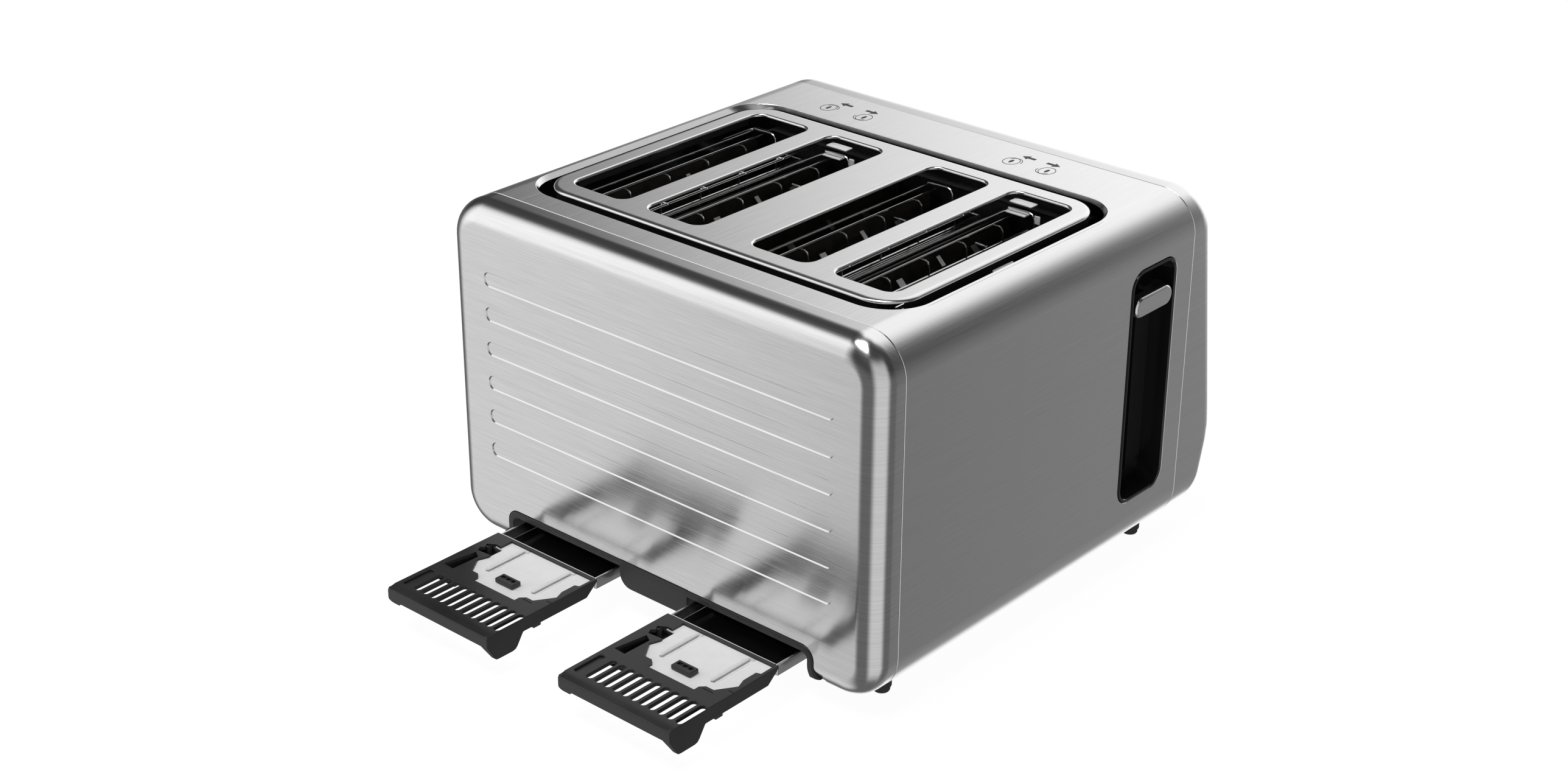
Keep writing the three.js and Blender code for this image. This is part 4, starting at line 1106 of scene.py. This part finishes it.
def make_tray_clip(side):
    """Clip with a hollow top that holds the deck plate."""
    hand = SIDE_NAMES[side]
    base = CRUMB_PLATE_Z + 0.3
    clip = block(f"tray_clip_moulding_{hand}", -12, 1, -48.6, -42, base, base + 2.6, 0.5)
    cut(clip, block("hollow", -10.6, -0.4, -47, -44.6, base + 1.2, base + 4, 0.3))
    for x in (-7.4, -3.6):
        join(clip, block("web", x - 0.4, x + 0.4, -47.4, -44.2, base + 0.6, base + 2.3, 0.2))
    settle_on_tray(clip, side, BLACK, "black_plastic", "tray_clip")


# ---- Control side ----


def on_front(piece):
    """Moves a piece drawn about the origin, with its face at Y = 0, onto the sloping front."""
    middle = Vector((0, -SEAM - front_depth(PANEL_Z) + SLEEVE_Y, PANEL_Z)) * MM
    home = Matrix.Translation(-Vector((0, SLEEVE_Y, 0)) * MM)
    tilt = Matrix.Rotation(-math.atan(FRONT_SLOPE), 4, "X")
    piece.data.transform(Matrix.Translation(middle) @ tilt @ home)
    return piece


def make_front_cover():
    cover = cover_shell("front_cover_steel", -1, front_depth)
    window = box_outline(-PANEL_HALF + 6, PANEL_HALF - 6, -PANEL_RISE + 6, PANEL_RISE - 6, 6, 6)
    cut(cover, on_front(stack("window", window, "y", [(-12, 0), (6, 0)])))
    settle(cover, STEEL_FRONT, "casing_steel", "toaster", "front_cover")


def button_outline(x):
    return box_outline(x - 8.5, x + 8.5, BUTTON_ROW - 4.5, BUTTON_ROW + 4.5, 4.4, 10)


def make_control_panel():
    outline = box_outline(-PANEL_HALF, PANEL_HALF, -PANEL_RISE, PANEL_RISE, 10, 10)
    low = -PANEL_PROUD - 0.3
    edge = [(-0.3, 0), (low + 0.8, 0), (low + 0.35, -0.15), (low + 0.1, -0.4), (low, -0.9)]
    panel = stack("control_panel_face", outline, "y", edge)
    plug = box_outline(-PANEL_HALF + 6.3, PANEL_HALF - 6.3, -PANEL_RISE + 6.3, PANEL_RISE - 6.3, 5.7, 6)
    join(panel, stack("plug", plug, "y", [(-1, 0), (3.5, 0)]))
    for side in SIDES:
        x = side * HALF_CENTRE
        cut(panel, turned("bore", [(4.4, -9), (4.4, 9)], (x, 0, KNOB_DROP), 24, "y"))
        for i in (-1, 0, 1):
            hole = [(-9, 0.8), (low - 0.05, 0.8), (low + 0.4, 0.4), (9, 0.4)]
            cut(panel, stack("hole", button_outline(x + i * BUTTON_PITCH), "y", hole))
    settle(on_front(panel), GLOSS_BLACK, "gloss_black", "toaster", "control_panel")


def make_button(side, i):
    """Push button with a rounded cap."""
    cap = -PANEL_PROUD - 3.2
    sections = [(5, 0), (cap + 1.2, 0), (cap + 0.7, -0.15), (cap + 0.3, -0.5)]
    sections += [(cap + 0.05, -1.1), (cap, -2)]
    hand = SIDE_NAMES[side]
    name = BUTTON_NAMES[i]
    x = side * HALF_CENTRE + i * BUTTON_PITCH
    button = stack(f"{name}_cap_{hand}", button_outline(x), "y", sections)
    body = f"{name}_{hand}".replace("_button", "")
    settle(on_front(button), BLACK, "gloss_black", body, f"{name}_{hand}")
    shapes = [prism("mark", shape, "y", cap - 0.02, cap + 0.2) for shape in symbol_of(i)]
    mark = group(f"{name}_mark_{hand}", shapes)
    mark.data.transform(Matrix.Translation(Vector((x, 0, BUTTON_ROW)) * MM))
    settle(on_front(mark), PALE_PRINT, "control_steel", body)


def band(x, y, radius, width, start, end, steps=24):
    """Outline of an arc drawn with a stroke."""
    outer = arc(x, y, radius + width / 2, start, end, steps)
    return outer + arc(x, y, radius - width / 2, end, start, steps)


def oval_band(x, y, reach_x, reach_y, start, end):
    """Outline of a thin oval ring, or of a part of one."""
    return [(x + reach_x * a, y + reach_y * b) for a, b in band(0, 0, 1, 0.085, start, end, 40)]


def symbol_of(i):
    """Plain symbol of a button: a ring for bagels, a snow star, and a cross to cancel."""
    if i == -1:
        return [band(0, 0, 2.2, 0.5, 20, 379), band(0, 0, 0.8, 0.4, 20, 379)]
    spokes = 2 if i == 1 else 3
    shapes = []
    for k in range(spokes):
        turn = math.radians(45 + 90 * k if i == 1 else 60 * k)
        along = (2.5 * math.cos(turn), 2.5 * math.sin(turn))
        beside = (-0.25 * math.sin(turn), 0.25 * math.cos(turn))
        corners = []
        for a, b in ((1, 1), (-1, 1), (-1, -1), (1, -1)):
            corners.append((a * along[0] + b * beside[0], a * along[1] + b * beside[1]))
        shapes.append(corners)
    return shapes


def make_browning_knob(side):
    """Steel knob with a fluted side, a dished face and a dark pointer."""
    hand = SIDE_NAMES[side]
    foot = -PANEL_PROUD - 0.6
    profile = [(2.8, 7), (2.8, foot), (17, foot), (17.6, foot - 1), (16.9, foot - 10), (16.5, foot - 12)]
    profile += [(15.9, foot - 13), (15.2, foot - 13.4), (13.6, foot - 13.4)]
    profile += [(13, foot - 12.9), (0.1, foot - 12.7)]
    centre = side * HALF_CENTRE
    knob = turned(f"browning_grip_{hand}", profile, (centre, 0, KNOB_DROP), 96, "y")
    for vertex in knob.data.vertices:
        x = vertex.co.x / MM - centre
        z = vertex.co.z / MM - KNOB_DROP
        depth = vertex.co.y / MM - SLEEVE_Y
        if foot - 12.5 < depth < foot - 0.5 and math.hypot(x, z) > 10:
            shrink = 1 - KNOB_FLUTE_DEPTH * (1 + math.cos(KNOB_FLUTES * math.atan2(z, x))) / 2
            vertex.co.x = (centre + x * shrink) * MM
            vertex.co.z = (KNOB_DROP + z * shrink) * MM
    settle(on_front(knob), CONTROL_STEEL, "casing_steel", f"knob_{hand}", f"browning_knob_{hand}")
    face = foot - 12.6
    low = KNOB_DROP + 5
    high = KNOB_DROP + 12.6
    name = f"browning_pointer_{hand}"
    pointer = block(name, centre - 0.8, centre + 0.8, face - 0.4, face + 0.4, low, high, 0.2)
    settle(on_front(pointer), BLACK, "black_plastic", f"knob_{hand}")


def make_dial(side):
    """Numbers printed round a browning knob."""
    hand = SIDE_NAMES[side]
    face = -PANEL_PROUD - 0.3
    marks = []
    for number in range(1, DIAL_NUMBERS + 1):
        turn = math.radians(225 - (number - 1) * DIAL_STEP)
        x = side * HALF_CENTRE + DIAL_RADIUS * math.cos(turn)
        z = KNOB_DROP + DIAL_RADIUS * math.sin(turn)
        if abs(z) > PANEL_RISE - 3:
            continue
        text = bpy.data.curves.new("number", "FONT")
        text.body = str(number)
        text.size = DIAL_TEXT * MM
        text.align_x = "CENTER"
        text.align_y = "CENTER"
        text.extrude = 0.08 * MM
        mark = as_mesh("number", text)
        stand_up = Matrix.Rotation(math.pi / 2, 4, "X")
        mark.data.transform(Matrix.Translation(place((x, face, z))) @ stand_up)
        marks.append(mark)
    scale = group(f"browning_scale_{hand}", marks)
    settle(on_front(scale), PALE_PRINT, "control_steel", "toaster")


# ---- Print on the top ----


def make_pictograms():
    """Rings and arrows printed in front of the slots, which show which way a bagel faces."""
    shapes = []
    for x, y, way in ((88.3, -99.8, -1), (62, -100.3, 1), (-44, -99.8, -1), (-67.7, -100.3, 1)):
        shapes.append(oval_band(x, y, 4.6, 5.5, 0, 359))
        shapes.append(oval_band(x + way * 1.5, y, 4.6, 5.5, 105 - 90 * way - 15, 255 - 90 * way - 15))
        shapes.append([(x + 1.0 * a, y + 2.6 * b) for a, b in arc(0, 0, 1, 0, 330, 11)])
    for x, way in ((83.2, 1), (64.1, -1), (-48.5, 1), (-65, -1)):
        arrow = [(-4.4, -1.15), (0.2, -1.15), (0.2, -2.8), (4.4, 0)]
        arrow += [(0.2, 2.8), (0.2, 1.15), (-4.4, 1.15)]
        shapes.append([(x + way * a, -110.3 + b) for a, b in arrow])
    marks = [prism("mark", shape, "z", TOP - 0.2, TOP + 0.05) for shape in shapes]
    settle(group("top_pictograms", marks), INK, "black_plastic", "toaster")


# ---- Studio ----


def soft_box(graph, direction, strength, start, end, low, high):
    """Brightness of a soft light panel in the world.

    The angles are in degrees, of azimuth from +Y towards +X and of height. Each is a pair, between which
    the panel's light fades in or out.
    """
    centre = math.radians((start[1] + end[0]) / 2)
    ahead_way = (math.sin(centre), math.cos(centre), 0)
    beside_way = (math.cos(centre), -math.sin(centre), 0)
    ahead = graph.vector_math("DOT_PRODUCT", direction, ahead_way, "Value")
    beside = graph.vector_math("DOT_PRODUCT", direction, beside_way, "Value")
    azimuth = graph.math("ADD", graph.math("ARCTAN2", beside, ahead), centre)
    height = graph.math("ARCSINE", graph.split(direction)[2])
    panel = strength
    fades = [(azimuth, start, (0, 1)), (azimuth, end, (1, 0))]
    fades += [(height, low, (0, 1)), (height, high, (1, 0))]
    for angle, pair, ends in fades:
        fade = graph.ramp(angle, math.radians(pair[0]), math.radians(pair[1]), *ends, True)
        panel = graph.math("MULTIPLY", fade, panel)
    return panel


# Strength, then the pairs of angles of each panel: start and end in azimuth, low and high in height.
LIGHT_PANELS = (
    (1.13, (129, 148), (180, 218), (-26, -2), (58, 74)),
    (1.0, (118, 134), (164, 186), (-70, -50), (-26, -2)),
    (0.64, (16, 50), (58, 92), (-80, -60), (44, 56)),
    (0.5, (20, 44), (58, 92), (-20, 0), (44, 56)),
    (0.56, (-108, -84), (-46, -18), (-70, -40), (26, 50)),
    (0.14, (-220, -190), (-156, -128), (-80, -60), (10, 40)),
    (10.0, (-34, -24), (56, 64), (60, 66), (84, 88)),
)
GROUND_LIGHT = 0.15
SKY_LIGHT = 0.05


def make_studio():
    """White studio: a plain white surround for the camera, and large soft panels that light the object."""
    world = bpy.data.worlds.new("studio")
    bpy.context.scene.world = world
    graph = Graph(world)
    direction = graph.add("ShaderNodeTexCoord").outputs["Generated"]
    light = graph.ramp(graph.split(direction)[2], -0.2, 0.25, GROUND_LIGHT, SKY_LIGHT, True)
    for panel in LIGHT_PANELS:
        light = graph.math("ADD", light, soft_box(graph, direction, *panel))
    background = graph.nodes["Background"]
    graph.links.new(light, background.inputs["Color"])
    seen = graph.add("ShaderNodeBackground", {"Color": (1, 1, 1, 1), "Strength": 1.0}).outputs[0]
    from_camera = graph.add("ShaderNodeLightPath").outputs["Is Camera Ray"]
    views = {0: from_camera, 1: background.outputs[0], 2: seen}
    mixed = graph.add("ShaderNodeMixShader", views).outputs[0]
    graph.links.new(mixed, graph.nodes["World Output"].inputs["Surface"])


def make_floor():
    mesh = bpy.data.meshes.new("studio_floor")
    reach = 6.0
    corners = [(-reach, -reach, 0), (reach, -reach, 0), (reach, reach, 0), (-reach, reach, 0)]
    mesh.from_pydata(corners, [], [(0, 1, 2, 3)])
    floor = add_object("studio_floor", mesh)
    material = bpy.data.materials.new("pale_floor")
    graph = Graph(material)
    graph.nodes.remove(graph.nodes["Principled BSDF"])
    diffuse = graph.add("ShaderNodeBsdfDiffuse", {"Color": (0.08, 0.08, 0.08, 1)}).outputs[0]
    glow = graph.add("ShaderNodeEmission", {"Color": (0.96, 0.96, 0.96, 1)}).outputs[0]
    total = graph.add("ShaderNodeAddShader", {0: diffuse, 1: glow}).outputs[0]
    graph.links.new(total, graph.nodes["Material Output"].inputs["Surface"])
    mesh.materials.append(material)
    floor.visible_glossy = False


CAMERA_AZIMUTH = 221.18
CAMERA_ELEVATION = 25.76
CAMERA_ROLL = 0.4
CAMERA_PLACE = (-796.98, 949.94, 685.67)
CAMERA_LENS = 56.89


def make_camera():
    azimuth = math.radians(CAMERA_AZIMUTH)
    elevation = math.radians(CAMERA_ELEVATION)
    level = math.cos(elevation)
    back = Vector((math.sin(azimuth) * level, -math.cos(azimuth) * level, math.sin(elevation)))
    right = Vector((math.cos(azimuth), math.sin(azimuth), 0))
    turn = Matrix((right, back.cross(right), back)).transposed()
    data = bpy.data.cameras.new("camera")
    data.lens = CAMERA_LENS
    data.sensor_width = 36
    roll = Matrix.Rotation(math.radians(CAMERA_ROLL), 3, "Z")
    camera = add_object("camera", data)
    camera.matrix_world = Matrix.Translation(place(CAMERA_PLACE)) @ (turn @ roll).to_4x4()
    bpy.context.scene.camera = camera


make_camera()
make_studio()
make_floor()
bpy.context.scene.view_settings.view_transform = "Standard"
dress_cad_nodes()
make_rear_cover()
make_middle_shell()
make_slot_plate()
make_plate_skirts()
make_tray_surround()
make_front_cover()
make_control_panel()
make_pictograms()
for side in SIDES:
    make_lever_bezel(side)
    make_lever_knob(side)
    make_lift_spring(side)
    make_foot(side, "front")
    make_foot(side, "rear")
    make_tray_front(side)
    make_crumb_plate(side)
    make_tray_clip(side)
    make_browning_knob(side)
    make_dial(side)
    for i in BUTTON_NAMES:
        make_button(side, i)
    for row, x in HEATER_X.items():
        make_heater(side, row, side * x)
for number, centre in enumerate(SLOT_CENTRES, 1):
    make_bread_guard(number, centre)
    make_slot_rails(number, centre)
